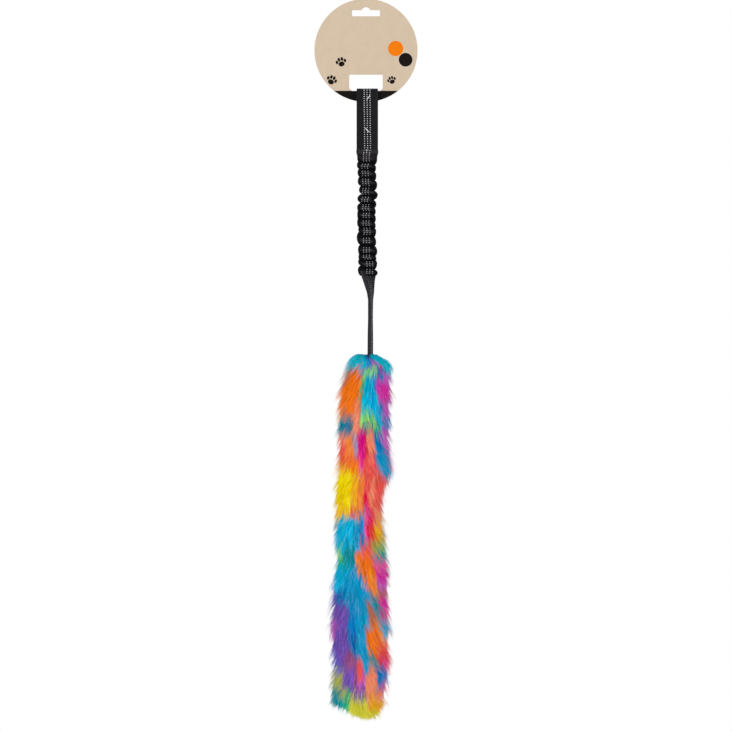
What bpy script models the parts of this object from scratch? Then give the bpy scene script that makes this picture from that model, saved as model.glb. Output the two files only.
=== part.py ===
"""A tug toy that hangs on a card tag: webbing handle, gathered bungee sleeve, turned strap and fur tail.

Metres, +Z up, front towards -Y. The origin is the top of the tag's hang slot, where a peg carries the toy.
The webbing and the fur tube bend anywhere on the real toy. Here they are cut where they bend most.
"""
import math

import bmesh
import bpy
import numpy as np
from mathutils import Vector

# Clearances
TOUCH_GAP = 0.0003
BEND_GAP = 0.0007
FUR_GAP = 0.0008

# Card hang tag
TAG_RADIUS = 0.060
TAG_THICKNESS = 0.0006
TAG_TOP_MARGIN = 0.0099
TAG_SIDES = 96
SLOT_WIDTH = 0.0326
SLOT_HEIGHT = 0.0070
SLOT_CORNER = 0.0014
HUMP_RADIUS = 0.0054
HUMP_RISE = 0.0034
WINDOW_WIDTH = 0.0390
WINDOW_HEIGHT = 0.0188
WINDOW_CORNER = 0.0030
BAR_HEIGHT = 0.0129

# Woven webbing of the handle and strap
WEB_WIDTH = 0.0250
WEB_THICKNESS = 0.0024
WEB_SQUARENESS = 6
WEB_POINTS = 16
THREAD_RADIUS = 0.00035

# Handle loop
HANDLE_X = 0.0015
LOOP_LENGTH = 0.0745
LOOP_GAP = 0.0160
LOOP_WIDEST_SHARE = 0.25
LOOP_STEPS = 18

# Seam stitching
SEAM_WIDTH = 0.0210
SEAM_HEIGHT = 0.0036
SEAM_MARGIN = 0.0016
SEAM_WAVES = 6
SEAM_WAVE_POINTS = 6

# Gathered sleeve and the elastic in it
SLEEVE_LENGTH = 0.1415
SLEEVE_WIDTH = 0.0218
SLEEVE_DEPTH = 0.0126
SLEEVE_GROOVE = 0.0012
SLEEVE_SLANT = 0.0022
SLEEVE_GATHERS = 14
SLEEVE_POINTS = 24
SLEEVE_SQUARENESS = 2.6
SLEEVE_SEAM = 0.0050
SLEEVE_MOUTH_WIDTH = 0.0240
SLEEVE_MOUTH_DEPTH = 0.0064
SLEEVE_MOUTH_TAPER = 0.0120
ELASTIC_WIDTH = 0.0140
ELASTIC_THICKNESS = 0.0030
SLEEVE_SHIFT_X = -0.0003

# Strap
STRAP_HEAD_LENGTH = 0.0058
STRAP_TWIST_LENGTH = 0.0262
STRAP_RUN_LENGTH = 0.0530
STRAP_SHIFT_X = 0.0037
STRAP_TURN_DEG = 80
SEAM_TURN_SHARE = 0.64
SWAY_TURN_SHARE = 0.74
TWIST_STEPS = 10

# Fur tail
TAIL_GAP = 0.0055
FUR_LENGTH = 0.4230
FUR_RADIUS = 0.0375
FUR_DEPTH_SHARE = 0.88
FUR_DRIFT = 0.0065
FUR_POINTS = 28
FUR_BEND_HALF_GAP = 0.0090
FUR_STEP_IN = 0.0010
FUR_BEND_SHARES = (0.24, 0.43, 0.62, 0.81)
FUR_RADIUS_SHARES = (
    (0.000, 0.36), (0.005, 0.47), (0.014, 0.58), (0.026, 0.69), (0.047, 0.75), (0.070, 0.77),
    (0.125, 0.86), (0.177, 0.85), (0.234, 0.84), (0.345, 0.84), (0.454, 0.83), (0.511, 0.86),
    (0.550, 0.82), (0.620, 0.86), (0.674, 0.96), (0.756, 1.00), (0.804, 0.93), (0.851, 0.91),
    (0.903, 0.97), (0.946, 0.92), (0.960, 0.80), (0.979, 0.66), (0.990, 0.47), (1.000, 0.20),
)
FUR_DRIFT_SHARES = (
    (0.00, 0.10), (0.03, 0.00), (0.13, 0.05), (0.24, 0.45),
    (0.45, 1.00), (0.62, 0.85), (0.78, 1.00), (1.00, 0.60),
)
CORE_END_MARGIN = 0.0300
BORE_GAP = 0.0004
DOME_RINGS = 6
COLLAR_SHARES = (0.35, 0.70, 1.00)
WALL_RINGS = 5

# Heights that follow from the sizes
TAG_CENTRE_Z = TAG_TOP_MARGIN - TAG_RADIUS
BAR_TOP_Z = TAG_CENTRE_Z - TAG_RADIUS + BAR_HEIGHT
LOOP_TOP_Z = BAR_TOP_Z + TOUCH_GAP + WEB_THICKNESS / 2
LOOP_END_Z = LOOP_TOP_Z - LOOP_LENGTH
BUNGEE_BEND_Z = LOOP_END_Z - BEND_GAP / 2
SLEEVE_TOP_Z = LOOP_END_Z - BEND_GAP
SLEEVE_END_Z = SLEEVE_TOP_Z - SLEEVE_LENGTH
STRAP_TOP_Z = SLEEVE_END_Z - TOUCH_GAP
SWAY_Z = STRAP_TOP_Z - STRAP_HEAD_LENGTH - BEND_GAP / 2
TWIST_TOP_Z = SWAY_Z - BEND_GAP / 2
TURN_Z = TWIST_TOP_Z - STRAP_TWIST_LENGTH - TOUCH_GAP / 2
RUN_TOP_Z = TURN_Z - TOUCH_GAP / 2
TAIL_SWAY_Z = RUN_TOP_Z - STRAP_RUN_LENGTH - BEND_GAP / 2
CORE_TOP_Z = TAIL_SWAY_Z - BEND_GAP / 2
FUR_TOP_Z = CORE_TOP_Z - TAIL_GAP
STRAP_X = HANDLE_X + STRAP_SHIFT_X
SEAM_STACK = 2 * WEB_THICKNESS + TOUCH_GAP

COLOURS = {
    "kraft": (0.66, 0.54, 0.39),
    "webbing": (0.018, 0.018, 0.022),
    "gathers": (0.014, 0.014, 0.018),
    "thread": (0.03, 0.03, 0.035),
    "elastic": (0.05, 0.05, 0.055),
    "fur_turquoise": (0.0, 0.36, 0.60),
    "fur_coral": (0.85, 0.13, 0.10),
    "fur_blue": (0.0, 0.28, 0.55),
    "fur_orange": (0.80, 0.22, 0.05),
    "fur_rose": (0.60, 0.08, 0.20),
}


def clear_scene():
    for thing in list(bpy.data.objects):
        bpy.data.objects.remove(thing, do_unlink=True)


def material(name, roughness):
    """A plain surface of one of the toy's colours."""
    made = bpy.data.materials.get(name)
    if made is None:
        made = bpy.data.materials.new(name)
        made.use_nodes = True
        shader = made.node_tree.nodes["Principled BSDF"]
        shader.inputs["Base Color"].default_value = (*COLOURS[name], 1)
        shader.inputs["Roughness"].default_value = roughness
        shader.inputs["Metallic"].default_value = 0
    return made


def joint_empty(name, position, parent=None):
    """An empty on a joint's axis, which carries the pieces and joints below it."""
    empty = bpy.data.objects.new(name, None)
    bpy.context.collection.objects.link(empty)
    above = Vector(parent["place"]) if parent else Vector((0, 0, 0))
    empty["place"] = position
    empty.parent = parent
    empty.location = Vector(position) - above
    return empty


def finish_mesh(bm, name, joint, colour, roughness, smooth_deg):
    """Turns the faces outwards and hangs the mesh on its joint."""
    place = Vector(joint["place"])
    bmesh.ops.recalc_face_normals(bm, faces=bm.faces)
    bmesh.ops.translate(bm, verts=bm.verts, vec=-place)
    mesh = bpy.data.meshes.new(name)
    bm.to_mesh(mesh)
    bm.free()
    mesh.shade_smooth()
    mesh.set_sharp_from_angle(angle=math.radians(smooth_deg))
    thing = bpy.data.objects.new(name, mesh)
    bpy.context.collection.objects.link(thing)
    thing.parent = joint
    mesh.materials.append(material(colour, roughness))
    return thing


def section(half_x, half_y, squareness, points, turn_deg=0):
    """A flat cross-section: a superellipse, squarer as squareness grows, turned about its middle."""
    t = np.arange(points) * (2 * math.pi / points)
    c, s = np.cos(t), np.sin(t)
    power = 2 / squareness
    x = half_x * np.sign(c) * np.abs(c) ** power
    y = half_y * np.sign(s) * np.abs(s) ** power
    turn = math.radians(turn_deg)
    return x * math.cos(turn) - y * math.sin(turn), x * math.sin(turn) + y * math.cos(turn)


def level_ring(x_y, centre_x, z):
    """A cross-section laid level at height z."""
    x, y = x_y
    return np.column_stack([x + centre_x, y, np.full(len(x), z)])


def skin(name, rings, joint, colour, roughness=0.8, joined=False, smooth_deg=50):
    """Joins each ring to the next. The ends are closed by a face each, or meet when joined."""
    bm = bmesh.new()
    made = [[bm.verts.new(point) for point in ring] for ring in rings]
    count = len(made[0])
    pairs = list(zip(made, made[1:]))
    if joined:
        pairs.append((made[-1], made[0]))
    for above, below in pairs:
        for i in range(count):
            j = (i + 1) % count
            bm.faces.new((above[i], above[j], below[j], below[i]))
    if not joined:
        bm.faces.new(made[0])
        bm.faces.new(made[-1])
    return finish_mesh(bm, name, joint, colour, roughness, smooth_deg)


def prism(name, outline, depth):
    """A hidden cutter: an outline in the XZ plane, carried through the card."""
    bm = bmesh.new()
    face = bm.faces.new([bm.verts.new((x, -depth, z)) for x, z in outline])
    moved = bmesh.ops.extrude_face_region(bm, geom=[face])["geom"]
    corners = [v for v in moved if isinstance(v, bmesh.types.BMVert)]
    bmesh.ops.translate(bm, verts=corners, vec=(0, 2 * depth, 0))
    bmesh.ops.recalc_face_normals(bm, faces=bm.faces)
    mesh = bpy.data.meshes.new(name)
    bm.to_mesh(mesh)
    bm.free()
    cutter = bpy.data.objects.new(name, mesh)
    bpy.context.collection.objects.link(cutter)
    cutter.hide_render = True
    cutter.display_type = "WIRE"
    return cutter


def arc(centre_x, centre_z, radius, start_deg, end_deg, steps):
    """Points on a circle in the XZ plane, from one angle to another."""
    angles = [math.radians(start_deg + (end_deg - start_deg) * i / steps) for i in range(steps + 1)]
    return [(centre_x + radius * math.cos(a), centre_z + radius * math.sin(a)) for a in angles]


def slot_outline():
    """The euro slot: a rounded bar with a round hump in the middle of its top edge."""
    top = -HUMP_RISE
    low = top - SLOT_HEIGHT
    side = SLOT_WIDTH / 2 - SLOT_CORNER
    hump_z = -HUMP_RADIUS
    half_angle = math.degrees(math.acos((top - hump_z) / HUMP_RADIUS))
    points = arc(0, hump_z, HUMP_RADIUS, 90 + half_angle, 90 - half_angle, 12)
    points += arc(side, top - SLOT_CORNER, SLOT_CORNER, 90, 0, 4)
    points += arc(side, low + SLOT_CORNER, SLOT_CORNER, 0, -90, 4)
    points += arc(-side, low + SLOT_CORNER, SLOT_CORNER, -90, -180, 4)
    points += arc(-side, top - SLOT_CORNER, SLOT_CORNER, 180, 90, 4)
    return points


def window_outline():
    """The window that the handle hangs in: a rectangle with its lower corners cut off."""
    side = WINDOW_WIDTH / 2
    low, high = BAR_TOP_Z, BAR_TOP_Z + WINDOW_HEIGHT
    corner = WINDOW_CORNER
    return [
        (-side, high), (side, high), (side, low + corner), (side - corner, low),
        (corner - side, low), (-side, low + corner),
    ]


def hang_tag(joint):
    bm = bmesh.new()
    rim = arc(0, TAG_CENTRE_Z, TAG_RADIUS, 0, 360 - 360 / TAG_SIDES, TAG_SIDES - 1)
    face = bm.faces.new([bm.verts.new((x, -TAG_THICKNESS / 2, z)) for x, z in rim])
    moved = bmesh.ops.extrude_face_region(bm, geom=[face])["geom"]
    corners = [v for v in moved if isinstance(v, bmesh.types.BMVert)]
    bmesh.ops.translate(bm, verts=corners, vec=(0, TAG_THICKNESS, 0))
    tag = finish_mesh(bm, "hang_tag", joint, "kraft", 0.9, 30)
    for name, outline in (("slot_cutter", slot_outline()), ("window_cutter", window_outline())):
        cut = tag.modifiers.new(name, "BOOLEAN")
        cut.operation = "DIFFERENCE"
        cut.object = prism(name, outline, TAG_THICKNESS)
    return tag


def loop_half_gap(share):
    """How far the webbing's middle stands from the loop's middle plane, at a share of its length down.

    A teardrop: the square root makes the round top, and the power of what is left closes the bottom.
    """
    closing = (1 - LOOP_WIDEST_SHARE) / (2 * LOOP_WIDEST_SHARE)
    peak = math.sqrt(LOOP_WIDEST_SHARE) * (1 - LOOP_WIDEST_SHARE) ** closing
    end = (WEB_THICKNESS + TOUCH_GAP) / 2
    widest = LOOP_GAP / 2 + WEB_THICKNESS / 2 - end * math.sqrt(LOOP_WIDEST_SHARE)
    return widest / peak * np.sqrt(share) * (1 - share) ** closing + end * np.sqrt(share)


def loop_path():
    """The webbing's middle in the YZ plane, from the front run's end over the top to the back run's."""
    swing = np.linspace(-1, 1, 2 * LOOP_STEPS + 1)
    share = swing ** 2
    y = np.sign(swing) * loop_half_gap(share)
    return y, LOOP_TOP_Z - LOOP_LENGTH * share


def normals_of(y, z):
    """Unit normals of a path in the YZ plane, to the left of its run. The ends stay square to Z."""
    dy, dz = np.gradient(y), np.gradient(z)
    dy[0] = dy[-1] = 0
    size = np.hypot(dy, dz)
    return -dz / size, dy / size


def handle_loop(joint):
    """The webbing's flat section carried along the teardrop path."""
    y, z = loop_path()
    ny, nz = normals_of(y, z)
    across, out = section(WEB_WIDTH / 2, WEB_THICKNESS / 2, WEB_SQUARENESS, WEB_POINTS)
    rings = [
        np.column_stack([across + HANDLE_X, y[i] + out * ny[i], z[i] + out * nz[i]]) for i in range(len(y))
    ]
    return skin("handle_loop", rings, joint, "webbing")


def stitches(name, joint, middle_z, face):
    """One zigzag thread. The face function gives the point over a place across the webbing at a height."""
    count = SEAM_WAVES * SEAM_WAVE_POINTS
    across = np.linspace(-SEAM_WIDTH / 2, SEAM_WIDTH / 2, count + 1)
    wave = np.sin(np.linspace(0, 2 * math.pi * SEAM_WAVES, count + 1))
    curve = bpy.data.curves.new(name, "CURVE")
    curve.dimensions = "3D"
    curve.bevel_depth = THREAD_RADIUS
    curve.bevel_resolution = 1
    curve.use_fill_caps = True
    line = curve.splines.new("POLY")
    line.points.add(count)
    place = Vector(joint["place"])
    for point, x, rise in zip(line.points, across, wave):
        point.co = (*(Vector(face(x, middle_z + rise * SEAM_HEIGHT / 2)) - place), 1)
    thing = bpy.data.objects.new(name, curve)
    bpy.context.collection.objects.link(thing)
    thing.parent = joint
    curve.materials.append(material("thread", 0.7))
    return thing


def upper_stitches(joint):
    middle_z = LOOP_END_Z + SEAM_MARGIN + SEAM_HEIGHT / 2
    stand_off = WEB_THICKNESS / 2 + TOUCH_GAP + THREAD_RADIUS

    def over(side):
        def face(x, z):
            share = (LOOP_TOP_Z - z) / LOOP_LENGTH
            return x + HANDLE_X, side * (loop_half_gap(share) + stand_off), z
        return face

    stitches("upper_stitches_front", joint, middle_z, over(-1))
    stitches("upper_stitches_back", joint, middle_z, over(1))


def turn_at(z):
    """The webbing's turn about Z, in degrees: none on the sleeve, then quickly to its full turn."""
    heights = (TURN_Z, SWAY_Z, SLEEVE_END_Z, SLEEVE_END_Z + SLEEVE_MOUTH_TAPER)
    return STRAP_TURN_DEG * float(np.interp(z, heights, (1, SWAY_TURN_SHARE, SEAM_TURN_SHARE, 0)))


def strap_x_at(z):
    """The middle of the webbing moves to the side as it turns, because its right edge stays in line."""
    heights = (TURN_Z, SLEEVE_END_Z, SLEEVE_END_Z + SLEEVE_MOUTH_TAPER)
    mouth_x = HANDLE_X + SEAM_TURN_SHARE / 2 * STRAP_SHIFT_X
    return float(np.interp(z, heights, (STRAP_X, mouth_x, HANDLE_X + SLEEVE_SHIFT_X)))


def bungee_sleeve(joint):
    """Gathered webbing: a flat oval tube with slanting folds, sewn shut at the top and open below."""
    cap = SEAM_STACK / 2 + TOUCH_GAP
    rings = []
    for degrees in (25, 60, 90):
        lean = math.radians(degrees)
        half = section(WEB_WIDTH / 2, cap * math.sin(lean), SLEEVE_SQUARENESS, SLEEVE_POINTS)
        rings.append(level_ring(half, HANDLE_X, SLEEVE_TOP_Z - cap * (1 - math.cos(lean))))
    start = SLEEVE_TOP_Z - SLEEVE_SEAM
    end = SLEEVE_END_Z + SLEEVE_MOUTH_TAPER
    folds = 2 * SLEEVE_GATHERS
    for i in range(folds + 1):
        z = start + (end - start) * i / folds
        inset = SLEEVE_GROOVE if i % 2 else 0
        side = 1 if i % 4 < 2 else -1
        x, y = section(SLEEVE_WIDTH / 2 - inset, SLEEVE_DEPTH / 2 - inset, SLEEVE_SQUARENESS, SLEEVE_POINTS)
        slant = side * SLEEVE_SLANT * x / SLEEVE_WIDTH
        ring = level_ring((x, y), HANDLE_X + SLEEVE_SHIFT_X, z)
        ring[:, 2] += slant * min(1, i, folds - i)
        rings.append(ring)
    mouth = section(
        SLEEVE_MOUTH_WIDTH / 2, SLEEVE_MOUTH_DEPTH / 2, SLEEVE_SQUARENESS, SLEEVE_POINTS,
        turn_at(SLEEVE_END_Z),
    )
    rings.append(level_ring(mouth, strap_x_at(SLEEVE_END_Z), SLEEVE_END_Z))
    gap = TOUCH_GAP + BORE_GAP
    for z in elastic_heights(0)[::-1]:
        bore = section(
            ELASTIC_WIDTH / 2 + gap, ELASTIC_THICKNESS / 2 + gap, SLEEVE_SQUARENESS, SLEEVE_POINTS,
            turn_at(z),
        )
        rings.append(level_ring(bore, strap_x_at(z), z))
    return skin("bungee_sleeve", rings, joint, "gathers")


def elastic_heights(gap):
    """Heights of the elastic's rings from its sewn top end to its mouth, with more where it turns."""
    top = SLEEVE_TOP_Z - SLEEVE_SEAM - gap
    turning = np.linspace(SLEEVE_END_Z + SLEEVE_MOUTH_TAPER, SLEEVE_END_Z, 4)
    return [top, *turning]


def bungee_elastic(joint):
    rings = [
        level_ring(
            section(ELASTIC_WIDTH / 2, ELASTIC_THICKNESS / 2, SLEEVE_SQUARENESS, SLEEVE_POINTS, turn_at(z)),
            strap_x_at(z), z,
        )
        for z in elastic_heights(TOUCH_GAP)
    ]
    return skin("bungee_elastic", rings, joint, "elastic")


def strap_piece(name, top, end, steps, joint, round_top, round_end):
    """A length of webbing that turns about Z as it goes down. A rounded end lets it bend at a joint."""
    radius = WEB_THICKNESS / 2
    heights = [(z, 1) for z in np.linspace(top, end, steps + 1)]
    if round_top:
        heights = rounded(top, radius, -1) + heights[1:]
    if round_end:
        heights = heights[:-1] + rounded(end, radius, 1)[::-1]
    rings = []
    for z, share in heights:
        flat = section(WEB_WIDTH / 2, radius * share, WEB_SQUARENESS, WEB_POINTS, turn_at(z))
        rings.append(level_ring(flat, strap_x_at(z), z))
    return skin(name, rings, joint, "webbing")


def rounded(z, radius, way):
    """Heights and shares of thickness along a half-round end that starts at z and runs the given way."""
    steps = [math.radians(a) for a in (20, 50, 90)]
    return [(z + way * radius * (1 - math.cos(a)), math.sin(a)) for a in steps]


def lower_stitches(joint):
    middle_z = STRAP_TOP_Z - STRAP_HEAD_LENGTH / 2
    stand_off = WEB_THICKNESS / 2 + TOUCH_GAP + THREAD_RADIUS

    def over(side):
        def face(x, z):
            turn = math.radians(turn_at(z))
            out = side * stand_off
            return (
                strap_x_at(z) + x * math.cos(turn) - out * math.sin(turn),
                x * math.sin(turn) + out * math.cos(turn),
                z,
            )
        return face

    stitches("lower_stitches_front", joint, middle_z, over(-1))
    stitches("lower_stitches_back", joint, middle_z, over(1))


def fur_radius_at(z):
    """Half the tail's width at a height, from the shares along its length."""
    place, share = np.array(FUR_RADIUS_SHARES).T
    return FUR_RADIUS * float(np.interp((FUR_TOP_Z - z) / FUR_LENGTH, place, share))


def fur_x_at(z):
    """The tail hangs a little to the left of the handle, lower down."""
    place, share = np.array(FUR_DRIFT_SHARES).T
    return -FUR_DRIFT * float(np.interp((FUR_TOP_Z - z) / FUR_LENGTH, place, share))


def fur_ring(z, inset=0):
    radius = fur_radius_at(z)
    shape = section(radius - inset, radius * FUR_DEPTH_SHARE - inset, 2, FUR_POINTS)
    return level_ring(shape, fur_x_at(z), z)


def bends():
    """Height and axis of each bend of the tail. The axes alternate, so that it bends every way."""
    heights = [FUR_TOP_Z - share * FUR_LENGTH for share in FUR_BEND_SHARES]
    return [(z, "x" if i % 2 == 0 else "y") for i, z in enumerate(heights)]


def ball(bend, extra):
    """Half sizes of the ball that the tail turns on at a bend, round about the bend's axis."""
    z, axis = bend
    half_x = fur_radius_at(z) - FUR_STEP_IN
    half_y = fur_radius_at(z) * FUR_DEPTH_SHARE - FUR_STEP_IN
    height = half_y if axis == "x" else half_x
    return half_x + extra, half_y + extra, height + extra


def on_ball(bend, extra, x_y):
    """Lifts a cross-section, given about the bend's middle, onto the upper side of the ball."""
    half_x, half_y, height = ball(bend, extra)
    x, y = x_y
    rise = height * np.sqrt(1 - (x / half_x) ** 2 - (y / half_y) ** 2)
    return np.column_stack([x + fur_x_at(bend[0]), y, bend[0] + rise])


def ball_rings(bend, extra, lowest, inner_share):
    """Level rings on the ball from a height over its middle up to a share of its width."""
    half_x, half_y, height = ball(bend, extra)
    low = math.asin(lowest / height)
    high = math.acos(inner_share)
    rings = []
    for lean in np.linspace(low, high, DOME_RINGS + 1):
        shape = section(half_x * math.cos(lean), half_y * math.cos(lean), 2, FUR_POINTS)
        rings.append(level_ring(shape, fur_x_at(bend[0]), bend[0] + height * math.sin(lean)))
    return rings


def core_line(top, low):
    """The webbing core runs straight from one bend's middle to the next. Gives x at a height."""
    slope = (top[1] - low[1]) / (top[0] - low[0])

    def x_at(z):
        return low[1] + slope * (z - low[0])
    return x_at


def core_shape(extra):
    """The core's section, wide across the toy's depth, as the strap enters the tail."""
    return section(
        WEB_THICKNESS / 2 + extra, WEB_WIDTH / 2 + extra, WEB_SQUARENESS, FUR_POINTS, STRAP_TURN_DEG - 90
    )


def slot_collar(bend, extra, inner_share, x_at):
    """Rings on the ball from its last level ring to the slot where the core comes out, in line with it."""
    half_x, half_y, height = ball(bend, extra)
    level = np.array(section(half_x * inner_share, half_y * inner_share, 2, FUR_POINTS))
    slot = np.array(core_shape(BORE_GAP))
    slot[0] += x_at(bend[0] + height) - fur_x_at(bend[0])
    return [on_ball(bend, extra, level + (slot - level) * share) for share in COLLAR_SHARES]


def core_top_height(bend):
    """Height over a bend's middle at which the core's corners are still inside the ball."""
    half_x, half_y, height = ball(bend, 0)
    x, y = core_shape(BORE_GAP)
    return height * math.sqrt(1 - float(np.max((x / half_x) ** 2 + (y / half_y) ** 2))) - BORE_GAP


def fur_segment(number, joint, colour):
    """One length of the tail: a ball on top, a hollow below for the next ball, and a slot for the core."""
    places = bends()
    upper = places[number - 2] if number > 1 else None
    lower = places[number - 1] if number <= len(places) else None
    end_z = FUR_TOP_Z - FUR_LENGTH
    top_point = (upper[0], fur_x_at(upper[0])) if upper else (FUR_TOP_Z, STRAP_X)
    low_point = (lower[0], fur_x_at(lower[0])) if lower else (end_z, fur_x_at(end_z))
    x_at = core_line(top_point, low_point)
    inner_share = (WEB_WIDTH / 2 + FUR_STEP_IN) / ball(upper or lower, 0)[1]

    rings = []
    if upper:
        rings += slot_collar(upper, 0, inner_share, x_at)[::-1]
        rings += ball_rings(upper, 0, -FUR_BEND_HALF_GAP, inner_share)[::-1]
        wall_top = upper[0] - FUR_BEND_HALF_GAP
    else:
        rings.append(level_ring(core_shape(BORE_GAP), x_at(FUR_TOP_Z), FUR_TOP_Z))
        wall_top = FUR_TOP_Z
    wall_end = lower[0] + FUR_BEND_HALF_GAP if lower else end_z
    heights = set(np.linspace(wall_top, wall_end, WALL_RINGS + 1))
    if not (upper and lower):
        marks = FUR_TOP_Z - FUR_LENGTH * np.array(FUR_RADIUS_SHARES)[:, 0]
        heights = {z for z in marks if wall_end < z < wall_top} | {wall_top, wall_end}
    rings += [fur_ring(z) for z in sorted(heights, reverse=True)]
    if lower:
        rings += ball_rings(lower, FUR_GAP, FUR_BEND_HALF_GAP, inner_share)
        rings += slot_collar(lower, FUR_GAP, inner_share, x_at)
        return skin(f"fur_{number}", rings, joint, colour, 0.9, joined=True)
    core_end = end_z + CORE_END_MARGIN
    blind = level_ring(core_shape(BORE_GAP), x_at(core_end), core_end - BORE_GAP)
    return skin(f"fur_{number}", [blind, *rings], joint, colour, 0.9)


def tail_core(number, joint):
    """The webbing inside one length of the tail."""
    places = bends()
    upper = places[number - 2] if number > 1 else None
    lower = places[number - 1] if number <= len(places) else None
    end_z = FUR_TOP_Z - FUR_LENGTH
    top_point = (upper[0], fur_x_at(upper[0])) if upper else (FUR_TOP_Z, STRAP_X)
    low_point = (lower[0], fur_x_at(lower[0])) if lower else (end_z, fur_x_at(end_z))
    x_at = core_line(top_point, low_point)
    end = lower[0] + ball(lower, FUR_GAP)[2] + BORE_GAP if lower else end_z + CORE_END_MARGIN
    full = core_shape(0)
    rings = []
    if upper:
        top = upper[0] + core_top_height(upper)
        rings.append(level_ring(full, x_at(top), top))
    else:
        for z, share in rounded(CORE_TOP_Z, WEB_THICKNESS / 2, -1):
            thin = section(
                WEB_THICKNESS / 2 * share, WEB_WIDTH / 2, WEB_SQUARENESS, FUR_POINTS, STRAP_TURN_DEG - 90
            )
            rings.append(level_ring(thin, STRAP_X, z))
        rings.append(level_ring(full, STRAP_X, FUR_TOP_Z))
    rings.append(level_ring(full, x_at(end), end))
    return skin(f"tail_core_{number}", rings, joint, "webbing")


def build():
    clear_scene()
    tag = joint_empty("tag_joint", (0, 0, 0))
    handle = joint_empty("handle_joint", (HANDLE_X, 0, BAR_TOP_Z), tag)
    bungee = joint_empty("bungee_joint", (HANDLE_X, 0, BUNGEE_BEND_Z), handle)
    head = joint_empty("stretch_joint", (strap_x_at(STRAP_TOP_Z), 0, STRAP_TOP_Z), bungee)
    twist = joint_empty("sway_joint", (strap_x_at(SWAY_Z), 0, SWAY_Z), head)
    run = joint_empty("turn_joint", (STRAP_X, 0, TURN_Z), twist)
    tail = [joint_empty("tail_joint_1", (STRAP_X, 0, TAIL_SWAY_Z), run)]
    for i, (z, axis) in enumerate(bends()):
        tail.append(joint_empty(f"tail_joint_{i + 2}", (fur_x_at(z), 0, z), tail[-1]))

    hang_tag(tag)
    handle_loop(handle)
    upper_stitches(handle)
    bungee_sleeve(bungee)
    bungee_elastic(bungee)
    head_end = STRAP_TOP_Z - STRAP_HEAD_LENGTH
    strap_piece("strap_head", STRAP_TOP_Z, head_end, 2, head, False, True)
    lower_stitches(head)
    twist_end = TWIST_TOP_Z - STRAP_TWIST_LENGTH
    strap_piece("strap_twist", TWIST_TOP_Z, twist_end, TWIST_STEPS, twist, True, False)
    strap_piece("strap_run", RUN_TOP_Z, RUN_TOP_Z - STRAP_RUN_LENGTH, 2, run, False, True)
    colours = ("fur_turquoise", "fur_coral", "fur_blue", "fur_orange", "fur_rose")
    for number, (joint, colour) in enumerate(zip(tail, colours), 1):
        tail_core(number, joint)
        fur_segment(number, joint, colour)


build()
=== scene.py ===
"""How the tug toy looks: card tag, webbing handle, gathered bungee sleeve, turned strap and long fur tail.

Metres, +Z up, front towards -Y. The origin is the top of the tag's hang slot.
"""
import math

import bpy
import numpy as np
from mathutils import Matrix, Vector
from mathutils.geometry import delaunay_2d_cdt


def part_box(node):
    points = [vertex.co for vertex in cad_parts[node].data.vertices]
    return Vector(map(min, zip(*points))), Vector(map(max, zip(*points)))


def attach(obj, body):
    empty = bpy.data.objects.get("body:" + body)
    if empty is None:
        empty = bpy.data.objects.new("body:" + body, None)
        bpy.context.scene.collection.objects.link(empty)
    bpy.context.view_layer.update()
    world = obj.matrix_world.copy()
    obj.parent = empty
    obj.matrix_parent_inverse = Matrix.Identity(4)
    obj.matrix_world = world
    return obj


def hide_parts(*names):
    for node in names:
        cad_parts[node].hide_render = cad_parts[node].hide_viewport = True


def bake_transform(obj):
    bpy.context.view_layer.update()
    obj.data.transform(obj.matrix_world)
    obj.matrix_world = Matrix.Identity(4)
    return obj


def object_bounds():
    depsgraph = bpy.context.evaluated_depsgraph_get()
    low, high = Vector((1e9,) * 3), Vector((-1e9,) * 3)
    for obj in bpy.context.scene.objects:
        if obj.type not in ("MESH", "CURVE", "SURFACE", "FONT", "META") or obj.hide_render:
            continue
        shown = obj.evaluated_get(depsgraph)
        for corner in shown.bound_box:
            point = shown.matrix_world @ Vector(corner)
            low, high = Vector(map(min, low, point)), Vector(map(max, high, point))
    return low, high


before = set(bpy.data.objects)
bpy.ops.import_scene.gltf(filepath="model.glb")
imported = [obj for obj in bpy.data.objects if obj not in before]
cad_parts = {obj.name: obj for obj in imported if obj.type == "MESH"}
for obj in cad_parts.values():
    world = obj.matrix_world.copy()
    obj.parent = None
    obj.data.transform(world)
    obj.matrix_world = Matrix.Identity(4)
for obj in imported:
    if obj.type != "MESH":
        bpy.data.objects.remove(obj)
cad_box = [list(corner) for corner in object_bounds()]


# The picture
# The toy hangs free in front of white, and is seen straight from the front through a long lens.
# Places read from the photograph are in its pixels, and one pixel is 1.163 mm of the toy.
PIXEL = 0.001163
PHOTO_SIDE = 732
HANG_HOLE_PX = (366, 7.3)
LENS_MM = 120
SENSOR_MM = 36


def photo_x(px):
    """Metres to the right of the hang hole."""
    return (np.asarray(px, float) - HANG_HOLE_PX[0]) * PIXEL


def photo_z(px):
    """Height over the hang hole, in metres."""
    return (HANG_HOLE_PX[1] - np.asarray(px, float)) * PIXEL


def put(name, data):
    """A new object in the scene that holds this camera, lamp or mesh."""
    thing = bpy.data.objects.new(name, data)
    bpy.context.collection.objects.link(thing)
    return thing


camera = put("camera", bpy.data.cameras.new("camera"))
camera.data.lens = LENS_MM
camera.data.sensor_width = SENSOR_MM
camera_far = PHOTO_SIDE * PIXEL * LENS_MM / SENSOR_MM
camera.location = (photo_x(PHOTO_SIDE / 2), -camera_far, photo_z(PHOTO_SIDE / 2))
camera.rotation_euler = (math.pi / 2, 0, 0)
bpy.context.scene.camera = camera
bpy.context.scene.view_settings.view_transform = "Standard"


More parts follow.
